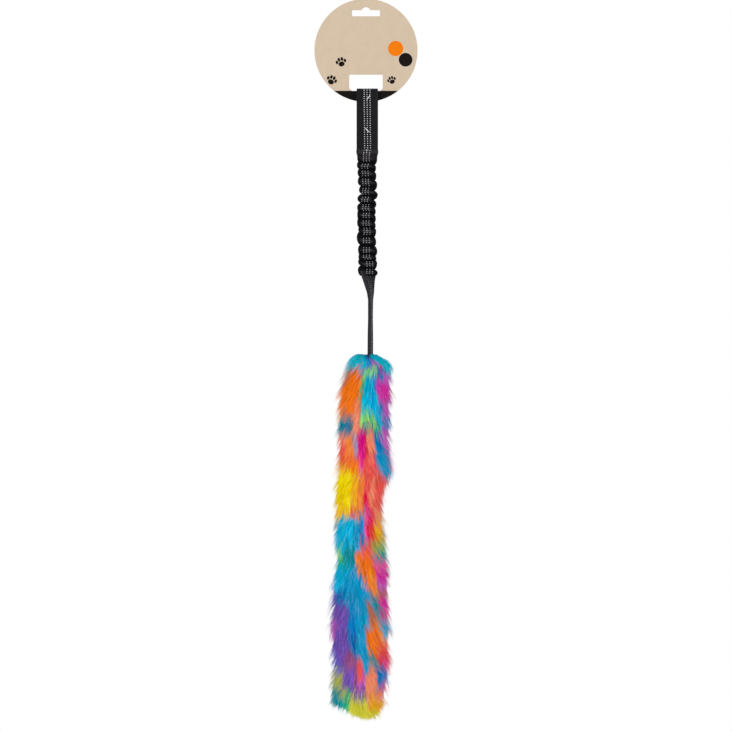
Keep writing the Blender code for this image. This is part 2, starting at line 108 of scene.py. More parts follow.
# Hang tag
# A round piece of 0.6 mm kraft card, die cut with a euro slot to hang by and a window for the handle.
# It is printed with a black band and two dots, and with plain paw prints beside the window.
TAG_THICKNESS = 0.0006
TAG_BOW = 0.0010
SLOT_WIDTH = 0.0326
SLOT_HEIGHT = 0.0070
SLOT_CORNER = 0.0014
HUMP_RADIUS = 0.0054
HUMP_RISE = 0.0034
WINDOW_WIDTH = 0.0390
WINDOW_HEIGHT = 0.0188
WINDOW_CUT = 0.0030
WINDOW_ROUND = 0.0014
BAR_HEIGHT = 0.0129
CARD_GRID = 0.0030
RIM_STEPS = 240
HUMP_STEPS = 20
CORNER_STEPS = 6
SAME_POINT = 1e-7
PRESSED_EDGE = 0.00012
PRESSED_SEGMENTS = 2
PRESSED_OVER_DEG = 40
BAND_PX = 90.8
DOT_ORANGE_PX = (395.6, 48.5, 7.65)
DOT_BLACK_PX = (405.6, 59.7, 6.9)
PAWS_PX = ((331.5, 80.5, 4.3, -24), (341.2, 62.5, 4.3, 14), (391.8, 80.5, 3.6, 20))
PAW_PADS = (
    (0.00, -0.35, 0.72, 0.58), (-0.95, 0.25, 0.30, 0.42), (-0.36, 0.75, 0.31, 0.46),
    (0.36, 0.75, 0.31, 0.46), (0.95, 0.25, 0.30, 0.42),
)
INK_EDGE = 0.00005
FIBRE_LEAN = 0.6
CROSSING_LEAN = -0.9


def screen(red, green, blue):
    """The light that a screen colour of 0 to 255 stands for: the sRGB curve, with full opacity."""
    share = np.array((red, green, blue)) / 255
    light = np.where(share <= 0.04045, share / 12.92, ((share + 0.055) / 1.055) ** 2.4)
    return (*light.tolist(), 1)


KRAFT = screen(199, 181, 156)
KRAFT_WARM = screen(204, 185, 163)
KRAFT_DARK = screen(180, 158, 132)
KRAFT_PALE = screen(216, 200, 178)
INK_BLACK = screen(14, 12, 12)
INK_ORANGE = screen(232, 118, 4)


def arc(x, z, radius, start_deg, end_deg, steps):
    """Points on a circle, from one angle to another."""
    angle = np.radians(np.linspace(start_deg, end_deg, steps + 1))
    return np.stack([x + radius * np.cos(angle), z + radius * np.sin(angle)], 1)


def inside(points, outline):
    """Which points lie in a closed outline: those with an odd number of its edges to their right."""
    x, z = points[:, 0][:, None], points[:, 1][:, None]
    x0, z0 = outline.T
    x1, z1 = np.roll(outline, -1, 0).T
    spans = (z0 > z) != (z1 > z)
    crossing = x0 + (z - z0) * (x1 - x0) / np.where(spans, z1 - z0, 1)
    return (spans & (crossing > x)).sum(1) % 2 == 1


tag_low, tag_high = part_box("hang_tag")
tag_radius = (tag_high.x - tag_low.x) / 2
tag_middle = (tag_high.z + tag_low.z) / 2
bar_top = tag_low.z + BAR_HEIGHT
slot_side = SLOT_WIDTH / 2 - SLOT_CORNER
slot_high = -HUMP_RISE - SLOT_CORNER
slot_low = -HUMP_RISE - SLOT_HEIGHT + SLOT_CORNER
hump_deg = math.degrees(math.acos((HUMP_RADIUS - HUMP_RISE) / HUMP_RADIUS))
slot = np.concatenate([
    arc(0, -HUMP_RADIUS, HUMP_RADIUS, 90 + hump_deg, 90 - hump_deg, HUMP_STEPS),
    arc(slot_side, slot_high, SLOT_CORNER, 90, 0, CORNER_STEPS),
    arc(slot_side, slot_low, SLOT_CORNER, 0, -90, CORNER_STEPS),
    arc(-slot_side, slot_low, SLOT_CORNER, -90, -180, CORNER_STEPS),
    arc(-slot_side, slot_high, SLOT_CORNER, 180, 90, CORNER_STEPS),
])
window_side = WINDOW_WIDTH / 2
window_top = bar_top + WINDOW_HEIGHT
window = np.concatenate([
    arc(WINDOW_ROUND - window_side, window_top - WINDOW_ROUND, WINDOW_ROUND, 180, 90, CORNER_STEPS),
    arc(window_side - WINDOW_ROUND, window_top - WINDOW_ROUND, WINDOW_ROUND, 90, 0, CORNER_STEPS),
    np.array((
        (window_side, bar_top + WINDOW_CUT), (window_side - WINDOW_CUT, bar_top),
        (WINDOW_CUT - window_side, bar_top), (-window_side, bar_top + WINDOW_CUT),
    )),
])
rim = arc(0, tag_middle, tag_radius, 0, 360, RIM_STEPS)[:-1]
across = np.arange(-tag_radius, tag_radius, CARD_GRID)
field = np.stack(np.meshgrid(across, across + tag_middle), -1).reshape(-1, 2)
clear = np.hypot(field[:, 0], field[:, 1] - tag_middle) < tag_radius - CARD_GRID / 2
for hole in (slot, window):
    near = np.hypot(*(field[:, None] - hole[None]).transpose(2, 0, 1)).min(1) < CARD_GRID / 3
    clear &= ~(inside(field, hole) | near)
edges = []
for outline in (rim, slot, window):
    ring = sum(map(len, edges)) + np.arange(len(outline))
    edges.append(np.stack([ring, np.roll(ring, -1)], 1))
flat_points = np.concatenate([rim, slot, window, field[clear]])
flat_points, _, triangles, *_ = delaunay_2d_cdt(
    list(map(Vector, flat_points)), np.concatenate(edges).tolist(), [], 0, SAME_POINT
)
flat_points, triangles = np.array(flat_points), np.array(triangles)
centres = flat_points[triangles].mean(1)
keep = inside(centres, rim) & ~inside(centres, slot) & ~inside(centres, window)
bow = TAG_BOW * (flat_points[:, 0] / tag_radius) ** 2
card_points = np.stack([flat_points[:, 0], bow, flat_points[:, 1]], 1)


class Value:
    """What a node gives out. Arithmetic on it adds Math nodes."""

    def __init__(self, finish, socket):
        self.finish = finish
        self.socket = socket

    def math(self, operation, *others):
        """Adds a Math node that takes this value first."""
        return self.finish.node("Math", (self, *others), operation=operation)

    def ramp(self, low, high, start, end):
        """Runs evenly from start to end while this goes from low to high, and stays there beyond them."""
        return self.finish.node("MapRange", (self, low, high, start, end))

    def ribs(self, pitch):
        """Round ribs a pitch apart, 0 between them and 1 on their crests: a sine without its sign."""
        return ((self / pitch) * math.pi).math("SINE").math("ABSOLUTE")

    def __add__(self, other):
        return self.math("ADD", other)

    def __sub__(self, other):
        return self.math("SUBTRACT", other)

    def __rsub__(self, other):
        return self.finish.node("Math", (other, self), operation="SUBTRACT")

    def __mul__(self, other):
        return self.math("MULTIPLY", other)

    def __truediv__(self, other):
        return self.math("DIVIDE", other)

    def __pow__(self, other):
        return self.math("POWER", other)

    def __lt__(self, other):
        return self.math("LESS_THAN", other)

    __radd__ = __add__
    __rmul__ = __mul__


class Finish:
    """A material that is being written, or the surroundings. Constants go on the shader's own sockets."""

    def __init__(self, name, kept_in=bpy.data.materials, shader="Principled BSDF", **constants):
        self.material = kept_in.new(name)
        self.material.use_nodes = True
        self.tree = self.material.node_tree
        self.shader = self.tree.nodes[shader]
        for words, value in constants.items():
            self.shader.inputs[words.replace("_", " ")].default_value = value

    def node(self, kind, inputs=(), output=0, stops=(), **settings):
        """Adds a node: its settings first, then a ramp's stops, then its inputs in order or by name."""
        made = self.tree.nodes.new("ShaderNode" + kind)
        for words, value in settings.items():
            setattr(made, words, value)
        for i, (place, colour) in enumerate(stops):
            ramp = made.color_ramp.elements
            stop = ramp[i] if i < len(ramp) else ramp.new(place)
            stop.position = place
            stop.color = colour
        named = inputs.items() if isinstance(inputs, dict) else enumerate(inputs)
        for key, value in named:
            if isinstance(value, Value):
                self.tree.links.new(value.socket, made.inputs[key])
            else:
                made.inputs[key].default_value = value
        return Value(self, made.outputs[output])

    def place(self):
        """The place on the object, in metres."""
        return self.node("TexCoord", output="Object")

    def drawn(self, scale, rotation=(0, 0, 0)):
        """The place, scaled and then turned, for a grain that runs one way."""
        return self.node("Mapping", {"Vector": self.place(), "Rotation": rotation, "Scale": scale})

    def axes(self, place):
        """The three numbers of a place."""
        return [self.node("SeparateXYZ", (place,), output=i) for i in range(3)]

    def mix(self, share, low, high):
        """A colour between two, by a share from 0 to 1."""
        return self.node("Mix", {0: share, 6: low, 7: high}, output=2, data_type="RGBA")

    def noise(self, place, scale, detail=2.0, roughness=0.5):
        """A cloud of numbers from 0 to 1, about as fine as its scale a metre."""
        settings = {"Vector": place, "Scale": scale, "Detail": detail, "Roughness": roughness}
        return self.node("TexNoise", settings)

    def bump(self, height, distance):
        """The surface's direction, tipped by a height that is given as a share of a distance."""
        return self.node("Bump", {"Strength": 1.0, "Distance": distance, "Height": height})

    def shows(self, **sockets):
        """Links values to the shader's sockets, and gives the finished material."""
        for words, value in sockets.items():
            self.tree.links.new(value.socket, self.shader.inputs[words.replace("_", " ")])
        return self.material


card = Finish("kraft_card", Roughness=0.86, Specular_IOR_Level=0.06)
card_x, _, card_z = card.axes(card.place())
mottle = card.noise(card.place(), 90, 4)
fibres = card.noise(card.drawn((900, 900, 90), (0, FIBRE_LEAN, 0)), 1, 2, 0.6)
crossing_fibres = card.noise(card.drawn((90, 900, 1100), (0, CROSSING_LEAN, 0)), 1, 2, 0.6)
paper = card.node("ValToRGB", (mottle,), stops=((0.30, KRAFT), (0.75, KRAFT_WARM)))
paper = card.mix(fibres.ramp(0.56, 0.74, 0, 0.26), paper, KRAFT_DARK)
paper = card.mix(crossing_fibres.ramp(0.58, 0.76, 0, 0.26), paper, KRAFT_PALE)


def card_disc(x_px, y_px, radius_px):
    """A printed round: 1 within its radius, with an edge a twentieth of a millimetre soft."""
    off_x = card_x - photo_x(x_px)
    off_z = card_z - photo_z(y_px)
    reach = (off_x * off_x + off_z * off_z) ** 0.5
    return reach.ramp(radius_px * PIXEL - INK_EDGE, radius_px * PIXEL, 1, 0)


def paw_print(x_px, y_px, size_px, turn_deg):
    """Four toes over a pad, all ellipses, turned about the paw's middle."""
    size = size_px * PIXEL
    turn = math.radians(turn_deg)
    off_x = (card_x - photo_x(x_px)) / size
    off_z = (card_z - photo_z(y_px)) / size
    side = off_x * math.cos(turn) + off_z * math.sin(turn)
    rise = off_z * math.cos(turn) - off_x * math.sin(turn)
    shown = None
    for pad_side, pad_rise, half_width, half_height in PAW_PADS:
        a = (side - pad_side) / half_width
        b = (rise - pad_rise) / half_height
        pad = (a * a + b * b) < 1
        shown = shown.math("MAXIMUM", pad) if shown else pad
    return shown


facing = card.axes(card.node("NewGeometry", output="Normal"))[1] < -0.5
printed = facing * card.noise(card.place(), 2600, 2).ramp(0.35, 0.65, 0.985, 1)
prints = [(card_z < photo_z(BAND_PX), INK_BLACK)]
prints += [(paw_print(*paw), INK_BLACK) for paw in PAWS_PX]
prints += [(card_disc(*DOT_ORANGE_PX), INK_ORANGE), (card_disc(*DOT_BLACK_PX), INK_BLACK)]
for shape, ink in prints:
    paper = card.mix(printed * shape, paper, ink)
card.shows(Base_Color=paper, Normal=card.bump(fibres + crossing_fibres + mottle, 0.00006))

tag = put("card_tag", bpy.data.meshes.new("card_tag"))
tag.data.from_pydata(card_points.tolist(), [], triangles[keep].tolist())
tag.data.materials.append(card.material)
thicken = tag.modifiers.new("thickness", "SOLIDIFY")
thicken.thickness = TAG_THICKNESS
thicken.offset = 0
soften = tag.modifiers.new("pressed_edge", "BEVEL")
soften.width = PRESSED_EDGE
soften.segments = PRESSED_SEGMENTS
soften.limit_method = "ANGLE"
soften.angle_limit = math.radians(PRESSED_OVER_DEG)
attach(tag, "tag")
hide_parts("hang_tag")


# Handle loop
# Flat nylon webbing, 25 mm wide, goes round the tag's bar and comes back on itself, and both ends go into the
# seam below. Its edges are finished with a chain of small loops.
WEB_WIDTH = 0.0250
WEB_THICKNESS = 0.0024
WEB_FLAT_STEPS = 100
WEB_END_STEPS = 8
WARP_PITCH = 0.00125
WARP_RIB = 0.00009
WEFT_PITCH = 0.0023
SELVAGE_PITCH = 0.0027
SELVAGE_HALF_WIDTH = 0.0010
SELVAGE_HALF_SHARE = 0.36
HANDLE_X = 0.0015
LOOP_LENGTH = 0.0745
LOOP_GAP = 0.0160
LOOP_WIDEST_SHARE = 0.25
LOOP_ROWS = 225
TOUCH_GAP = 0.0003
WEB_BLACK = screen(13, 13, 15)
WEB_LIGHT = screen(40, 38, 43)


def surface(name, points, faces, material, corner_uvs=None, sharp_deg=50):
    """A mesh from points (n, 3) and groups of faces (k, corners), turned outwards if its volume is negative.

    The volume is the sum of the triple products of each triangle's corners.
    """
    fan = np.concatenate([
        np.stack([f[:, 0], f[:, i], f[:, i + 1]], 1) for f in faces for i in range(1, f.shape[1] - 1)
    ])
    a, b, c = points[fan[:, 0]], points[fan[:, 1]], points[fan[:, 2]]
    if float((a * np.cross(b, c)).sum()) < 0:
        faces = [f[:, ::-1] for f in faces]
        if corner_uvs is not None:
            corner_uvs = {key: [uv[:, ::-1] for uv in groups] for key, groups in corner_uvs.items()}
    mesh = bpy.data.meshes.new(name)
    corners = np.concatenate([f.ravel() for f in faces])
    sizes = np.concatenate([np.full(len(f), f.shape[1]) for f in faces])
    mesh.vertices.add(len(points))
    mesh.vertices.foreach_set("co", points.astype(np.float32).ravel())
    mesh.loops.add(len(corners))
    mesh.loops.foreach_set("vertex_index", corners.astype(np.int32))
    mesh.polygons.add(len(sizes))
    mesh.polygons.foreach_set("loop_start", (np.cumsum(sizes) - sizes).astype(np.int32))
    mesh.update(calc_edges=True)
    mesh.polygons.foreach_set("use_smooth", np.ones(len(sizes), bool))
    mesh.set_sharp_from_angle(angle=math.radians(sharp_deg))
    for key, groups in (corner_uvs or {}).items():
        uvs = np.concatenate([uv.reshape(-1, 2) for uv in groups])
        mesh.uv_layers.new(name=key).data.foreach_set("uv", uvs.astype(np.float32).ravel())
    mesh.materials.append(material)
    return put(name, mesh)


def grid(rows, columns):
    """Quads between closed rings of points, and the row and column of each corner, not wrapped."""
    i, j = (n.ravel() for n in np.meshgrid(np.arange(rows - 1), np.arange(columns), indexing="ij"))
    row = np.stack([i, i, i + 1, i + 1], 1)
    column = np.stack([j, j + 1, j + 1, j], 1)
    return row * columns + column % columns, row, column


def tube(name, rings, across, along, material, sharp_deg=50):
    """Rings (rows, columns, 3) joined and closed at both ends.

    The cloth map holds metres: across (columns + 1) round each ring, and along (rows) down the piece.
    """
    rows, columns = rings.shape[:2]
    quads, row, column = grid(rows, columns)
    first = np.arange(columns)[None, ::-1]
    last = first[:, ::-1] + (rows - 1) * columns
    side = np.stack([across[column], along[row]], -1)
    ends = [np.full((1, columns, 2), along[i]) for i in (0, -1)]
    return surface(
        name, rings.reshape(-1, 3), [quads, first, last], material, {"cloth": [side, *ends]}, sharp_deg
    )


def web_section(half_width, half_thick):
    """Webbing cut across: two flats with round ends, ribbed by its warp, one cosine wave to each warp pitch.

    Its points run along the flat with positive y, round the right-hand end, back along the other flat and
    round the left-hand end.
    """
    flat = half_width - half_thick
    span = np.linspace(-flat, flat, WEB_FLAT_STEPS)
    rib = WARP_RIB * np.cos(2 * math.pi * span / WARP_PITCH)
    turn = np.linspace(0, math.pi, WEB_END_STEPS + 2)[1:-1]
    end_x = flat + half_thick * np.sin(turn)
    end_y = half_thick * np.cos(turn)
    x = np.concatenate([span, end_x, span[::-1], -end_x])
    y = np.concatenate([half_thick + rib, end_y, -half_thick - rib, -end_y])
    return x, y


def round_length(x, y):
    """Distance round a closed section, with the start repeated at the end."""
    gaps = np.hypot(np.diff(x, append=x[0]), np.diff(y, append=y[0]))
    return np.concatenate([[0], np.cumsum(gaps)])


def web_finish(name, cloth_map=True, painted_light=None, selvage=False, black=WEB_BLACK, pale=WEB_LIGHT):
    """Black nylon webbing: warp ribs that rise and dip in turn over the weft, paler where they rise.

    Where a piece notes how full its folds are, the crests get a painted highlight and the bottoms painted
    shade, down to black. With its selvage, a chain of small loops runs down each edge: rounds whose rim is
    pale.
    """
    web = Finish(name, Roughness=0.62, Specular_IOR_Level=0.06)
    if cloth_map:
        across, along, _ = web.axes(web.node("UVMap", uv_map="cloth"))
    else:
        _, across, along = web.axes(web.place())
    parity = (across / WARP_PITCH).math("FLOOR").math("MODULO", 2).math("ABSOLUTE") * 0.5
    rise = ((along / WEFT_PITCH + parity) * (2 * math.pi)).math("SINE") * 0.5 + 0.5
    weave = rise * across.ribs(WARP_PITCH)
    fuzz = web.noise(web.place(), 1800, 3)
    patchy = web.noise(web.place(), 120, 2)
    shade = weave * 0.55 + patchy * 0.35 + fuzz * 0.25 - 0.1
    # Painted light from the noted numbers: paler on the fold crests, and black in the fold bottoms.
    if painted_light:
        full = web.node("Attribute", output=2, attribute_name=painted_light)
        shade = (shade + 0.25) * full.ramp(0.76, 1.0, 0.0, 1.15)
    if selvage:
        flat, quarter = WEB_WIDTH - WEB_THICKNESS, math.pi / 4 * WEB_THICKNESS
        off_right = (across - (flat + quarter)).math("ABSOLUTE")
        off_left = (across - (2 * flat + 3 * quarter)).math("ABSOLUTE")
        off_edge = off_right.math("MINIMUM", off_left) / SELVAGE_HALF_WIDTH
        off_loop = ((along / SELVAGE_PITCH).math("FRACT") - 0.5) / SELVAGE_HALF_SHARE
        reach = (off_edge ** 2 + off_loop ** 2) ** 0.5
        shade = shade.math("MAXIMUM", (reach - 1).math("ABSOLUTE").ramp(0.15, 0.45, 1.3, 0))
    return web.shows(
        Base_Color=web.mix(shade, black, pale),
        Roughness=0.72 - weave * 0.18,
        Normal=web.bump(weave + fuzz * 0.3, 0.00022),
    )


def loop_half_gap(share):
    """How far the webbing's middle stands from the loop's middle plane, at a share of its length down.

    A teardrop: the square root makes the round top, and the power of what is left closes the bottom.
    """
    closing = (1 - LOOP_WIDEST_SHARE) / (2 * LOOP_WIDEST_SHARE)
    peak = math.sqrt(LOOP_WIDEST_SHARE) * (1 - LOOP_WIDEST_SHARE) ** closing
    end = (WEB_THICKNESS + TOUCH_GAP) / 2
    widest = LOOP_GAP / 2 + WEB_THICKNESS / 2 - end * math.sqrt(LOOP_WIDEST_SHARE)
    return widest / peak * np.sqrt(share) * (1 - share) ** closing + end * np.sqrt(share)


def path_length(points):
    """Distance along a line of points."""
    return np.concatenate([[0], np.cumsum(np.linalg.norm(np.diff(points, axis=0), axis=1))])


loop_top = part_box("handle_loop")[1].z - WEB_THICKNESS / 2
swing = np.linspace(-1, 1, 2 * LOOP_ROWS + 1)
loop_y = np.sign(swing) * loop_half_gap(swing ** 2)
loop_z = loop_top - LOOP_LENGTH * swing ** 2
slope_y, slope_z = np.gradient(loop_y), np.gradient(loop_z)
slope_y[[0, -1]] = 0
size = np.hypot(slope_y, slope_z)
loop_out = np.stack([0 * size, -slope_z / size, slope_y / size], 1)
loop_middle = np.stack([0 * size + HANDLE_X, loop_y, loop_z], 1)
web_x, web_y = web_section(WEB_WIDTH / 2, WEB_THICKNESS / 2)
web_round = round_length(web_x, web_y)
section = web_x[None, :, None] * np.array((1, 0, 0)) + web_y[None, :, None] * loop_out[:, None]
webbing = web_finish("webbing", selvage=True)
handle = tube("handle_webbing", loop_middle[:, None] + section, web_round, path_length(loop_middle), webbing)
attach(handle, "handle")
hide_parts("handle_loop")


# Reflective threads
# Pale glass-coated threads, caught under the weft every 2.6 mm, so that they show as rows of short dashes.
# Each dash is a small pillow on the webbing's face. A float is one longer stretch that came loose.
THREAD_OFFSETS = (-0.00375, -0.00035, 0.00300)
THREAD_DRIFT = 0.0008
DASH_PITCH = 0.0026
DASH_HALF = (0.00062, 0.00058, 0.00030)
DASH_SIDES = 6
DASH_RINGS = 5
FLOATS_PX = (
    ((370.2, 95.2), (369.4, 97.2), (367.4, 99.4), (366.5, 101.2)),
    ((364.4, 127.9), (366.0, 129.4), (368.0, 131.8), (370.4, 133.0)),
    ((366.9, 149.2), (366.8, 150.8), (366.7, 152.4)),
)
FLOAT_RADIUS = 0.00058
FLOAT_SIDES = 8
FLOAT_STEPS = 14
FLOAT_TIP = 0.12
FLOAT_STANDOFF_SHARE = 0.5


def thread_finish(name, dull, bright):
    """Thread coated with fine glass grains, which glint unevenly."""
    made = Finish(name, Roughness=0.42, Specular_IOR_Level=0.4, Coat_Weight=0.2)
    glitter = made.noise(made.place(), 2400, 2)
    return made.shows(Base_Color=made.mix(glitter, dull, bright), Normal=made.bump(glitter, 0.0001))


thread = thread_finish("reflective_thread", screen(176, 176, 180), screen(240, 240, 242))


def pillows(name, centres, along, out, half_sizes, material):
    """Small ellipsoids at the centres, their length turned along and their height turned out."""
    lean = np.linspace(0, math.pi, DASH_RINGS + 1)[1:-1]
    turn = np.arange(DASH_SIDES) * (2 * math.pi / DASH_SIDES)
    body = np.stack([
        np.outer(np.sin(lean), np.cos(turn)), np.outer(np.cos(lean), np.ones(DASH_SIDES)),
        np.outer(np.sin(lean), np.sin(turn)),
    ], -1).reshape(-1, 3)
    unit = np.concatenate([body, ((0, 1, 0), (0, -1, 0))]) * half_sizes
    side = np.cross(along, out)
    axes = np.stack([side, along, out], 1)
    points = centres[:, None] + np.einsum("pk,nkc->npc", unit, axes)
    quads, _, _ = grid(DASH_RINGS - 1, DASH_SIDES)
    ring = np.arange(DASH_SIDES)
    after = (ring + 1) % DASH_SIDES
    low = (DASH_RINGS - 2) * DASH_SIDES
    top = np.stack([after, ring, 0 * ring + len(body)], 1)
    bottom = np.stack([ring + low, after + low, 0 * ring + len(body) + 1], 1)
    first = (np.arange(len(centres)) * len(unit))[:, None, None]
    faces = [(f[None] + first).reshape(-1, f.shape[1]) for f in (quads, top, bottom)]
    return surface(name, points.reshape(-1, 3), faces, material)


def spaced(line, pitch):
    """Where to read a line of points at even steps: the indices, as fractions."""
    length = path_length(line)
    stops = np.arange(pitch / 2, length[-1], pitch)
    return np.interp(stops, length, np.arange(len(line)))


def read(values, index):
    """Values at fractional indices, column by column."""
    whole = np.arange(len(values))
    return np.stack([np.interp(index, whole, values[:, k]) for k in range(values.shape[1])], 1)


def units(vectors):
    """Each vector divided by its length."""
    return vectors / np.linalg.norm(vectors, axis=1)[:, None]


def dash_row(line, out, slope=None):
    """A row of dashes, evenly spaced down a line of points: their centres, and the ways they run and face."""
    index = spaced(line, DASH_PITCH)
    slope = np.gradient(line, axis=0) if slope is None else slope
    return read(line, index), units(read(slope, index)), units(read(out, index))


def dashes(name, rows, half_sizes, material):
    """Rows of dashes as one piece of small pillows."""
    centres, along, out = (np.concatenate(part) for part in zip(*rows))
    return pillows(name, centres, along, out, np.array(half_sizes), material)


loop_slope = units(np.gradient(loop_middle, axis=0))
thread_drift = THREAD_DRIFT * (loop_top - loop_z) / LOOP_LENGTH
rows = []
for offset in THREAD_OFFSETS:
    face = loop_middle + loop_out * (WEB_THICKNESS / 2)
    face[:, 0] += offset + thread_drift
    rows.append(dash_row(face, loop_out, loop_slope))
handle_dashes = dashes("handle_threads", rows, DASH_HALF, thread)
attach(handle_dashes, "handle")


def thread_float(name, line, radius):
    """A loose stretch of thread: a round tube whose radius is half a sine wave, so both ends are thin."""
    slope = units(np.gradient(line, axis=0))
    side = units(np.cross(slope, np.array((0, -1, 0))))
    up = np.cross(side, slope)
    turn = np.arange(FLOAT_SIDES) * (2 * math.pi / FLOAT_SIDES)
    swell = radius * np.sin(np.linspace(FLOAT_TIP, math.pi - FLOAT_TIP, len(line)))
    ring = np.cos(turn)[None, :, None] * side[:, None] + np.sin(turn)[None, :, None] * up[:, None]
    rings = line[:, None] + swell[:, None, None] * ring
    around = np.linspace(0, 2 * math.pi * radius, FLOAT_SIDES + 1)
    return tube(name, rings, around, path_length(line), thread)


for number, float_px in enumerate(FLOATS_PX, 1):
    flat = read(np.array(float_px), np.linspace(0, len(float_px) - 1, FLOAT_STEPS))
    drop = (loop_top - photo_z(flat[:, 1])) / LOOP_LENGTH
    front = -(loop_half_gap(drop) + WEB_THICKNESS / 2 + FLOAT_RADIUS * FLOAT_STANDOFF_SHARE)
    line = np.stack([photo_x(flat[:, 0]), front, photo_z(flat[:, 1])], 1)
    loose = thread_float(f"thread_float_{number}", line, FLOAT_RADIUS)
    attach(loose, "handle")


# Gathered sleeve
# The same webbing, woven as a tube and pushed together over an elastic that is shorter than it. It bunches
# into rounded folds that don't line up from one edge to the other, sewn flat at the top and hemmed below.
SLEEVE_ROWS = 560
SLEEVE_COLUMNS = 132
SLEEVE_DEPTH = 0.0126
SLEEVE_SQUARE = 3.0
FOLD_DEPTH = 0.0028
EDGE_POWER = 2.4
# How quickly the painted shade grows towards the sleeve's sides.
SIDE_SHADE_POWER = 2.2
FOLD_LEAN = 0.0010
# The sleeve's black is darker and its pale lighter than the handle's webbing: painted shade in the fold
# bottoms and a painted highlight on the crests.
SLEEVE_SHADED_BLACK = screen(6, 6, 8)
SLEEVE_HIGHLIGHT = screen(62, 58, 62)
# The painted light level of the seam band and of the sleeve's sewn top.
SEAM_CREST_LIGHT = 0.86
SLEEVE_TOP_PX = 154.8
SLEEVE_END_PX = 275.9
FOLD_POWER = 0.55
FOLD_LEVEL = 0.86
FOLD_SWAY = 0.06
SWAY_ACROSS = 7
SWAY_DOWN = 310
SEWN_TOP_PX = 9
HEM_TURN_PX = 7
SEWN_DEPTH_SHARE = 0.42
SEWN_FOLD_SHARE = 0.3
HEM_THINNING_SHARE = 0.16
HEM_FLATTENING_SHARE = 0.5
SLEEVE_RIB = 0.00014
# How much painted shade darkens the sleeve towards its sides.
SIDE_SHADE_SHARE = 0.35
LEFT_CRESTS_PX = (
    (158, 357.2), (165, 356.9), (171.8, 357.5), (181.5, 357.7), (190, 358.9), (198.5, 357.4), (207.5, 357.1),
    (214.5, 357.2), (222.5, 357.1), (229.8, 358.2), (237, 356.7), (249.3, 358.0), (257, 358.4),
    (261.8, 358.1), (269.8, 357.8),
)
LEFT_NOTCHES_PX = (
    (154.8, 357.2), (161.5, 358.4), (169, 359.1), (176.8, 359.3), (186, 361.0), (194, 362.3), (203, 360.9),
    (211, 357.9), (218.5, 357.9), (227.3, 359.0), (231.8, 359.2), (244.8, 360.2), (254.5, 359.1),
    (259.2, 359.0), (265.5, 360.9), (275.9, 360.8),
)
RIGHT_CRESTS_PX = (
    (158.5, 377.2), (168, 376.1), (175.6, 376.4), (184.3, 377.3), (194.7, 377.8), (204.3, 376.4),
    (211.5, 375.8), (218.8, 375.9), (226, 375.7), (230.8, 376.2), (242.4, 376.2), (251.5, 377.3),
    (258.5, 376.4), (263, 377.2), (272.8, 377.7),
)
RIGHT_NOTCHES_PX = (
    (154.8, 377.9), (164.8, 374.5), (172, 374.5), (180.8, 374.8), (190.8, 373.9), (200, 373.3), (208, 374.4),
    (215, 374.5), (222.5, 374.6), (228.5, 374.8), (237, 374.3), (246, 374.6), (256, 375.3), (260.5, 375.7),
    (269.6, 374.3), (275.9, 375.3),
)
MIDDLE_CRESTS_PX = (
    158.5, 166, 173, 182, 192, 199.5, 208.5, 214.8, 223.4, 231.4, 241.3, 250.2, 257.1, 264, 272.5,
)
MIDDLE_NOTCHES_PX = (
    154.8, 162.5, 169.5, 177.5, 187, 195.5, 204, 212, 219, 227.5, 236, 245.7, 254.2, 260.5, 268.7, 275.9,
)
THREADS_PX = (
    (147.5, 367.3), (150, 366.9), (154, 366.6), (158.5, 366.3), (162, 366.5), (166.5, 364.5), (170, 365.0),
    (173.5, 365.5), (182.5, 365.6), (187.5, 366.4), (191.5, 364.9), (195.5, 366.3), (200.5, 364.2),
    (204.5, 366.0), (208.5, 365.3), (212, 367.0), (215, 365.8), (219, 366.4), (223.5, 365.9), (231.5, 367.3),
    (237, 366.4), (257, 366.5), (259.5, 368.3), (261.5, 369.6), (265, 370.0), (276, 369.6),
)
THREAD_STEP_PX = 2.85
THREAD_TOP_ROWS = 6
THREAD_END_ROWS = 4
SLEEVE_DASH_PITCH = 0.0026
SLEEVE_DASH_HALF = (0.00052, 0.00070, 0.00022)
SHOWN_FULLNESS = 0.50
# The colours of a dimmer copy of the reflective thread: painted shade.
SHADED_THREAD_DULL = screen(96, 96, 100)
SHADED_THREAD_BRIGHT = screen(176, 176, 182)


def fullness(passed):
    """How full a fold is: a sine to a low power, so folds are round and the notches between them sharp."""
    return np.abs(np.sin(math.pi * passed)) ** FOLD_POWER


def down(heights, table_px, column=1):
    """A column of a table at each height, straight between rows. Each row starts with its pixel down."""
    table = np.asarray(table_px, float)
    return np.interp(-heights, -photo_z(table[:, 0]), table[:, column])


def folds_passed(heights, crests_px, notches_px):
    """How many folds lie above each height: a whole number in the notches, and a half more at the crests."""
    knots = np.sort(np.concatenate([crests_px, notches_px]))
    return np.interp(-heights, -photo_z(knots), np.arange(len(knots)) / 2)


def fold_edge(heights, crests, notches):
    """An edge of the sleeve at each height, between its notches and its crests, and the folds passed."""
    crests, notches = np.array(crests), np.array(notches)
    passed = folds_passed(heights, crests[:, 0], notches[:, 0])
    fold = np.clip(np.floor(passed).astype(int), 0, len(crests) - 1)
    inner = photo_x(down(heights, notches))
    return inner + (photo_x(crests[fold, 1]) - inner) * fullness(passed), passed


def step(values, low, high):
    """A smooth step from 0 at low to 1 at high."""
    share = np.clip((values - low) / (high - low), 0, 1)
    return share * share * (3 - 2 * share)


def note(piece, name, values):
    """Keeps a number for each point of a piece, for its finish to read."""
    layer = piece.data.attributes.new(name, "FLOAT", "POINT")
    layer.data.foreach_set("value", np.ravel(values).astype(np.float32))


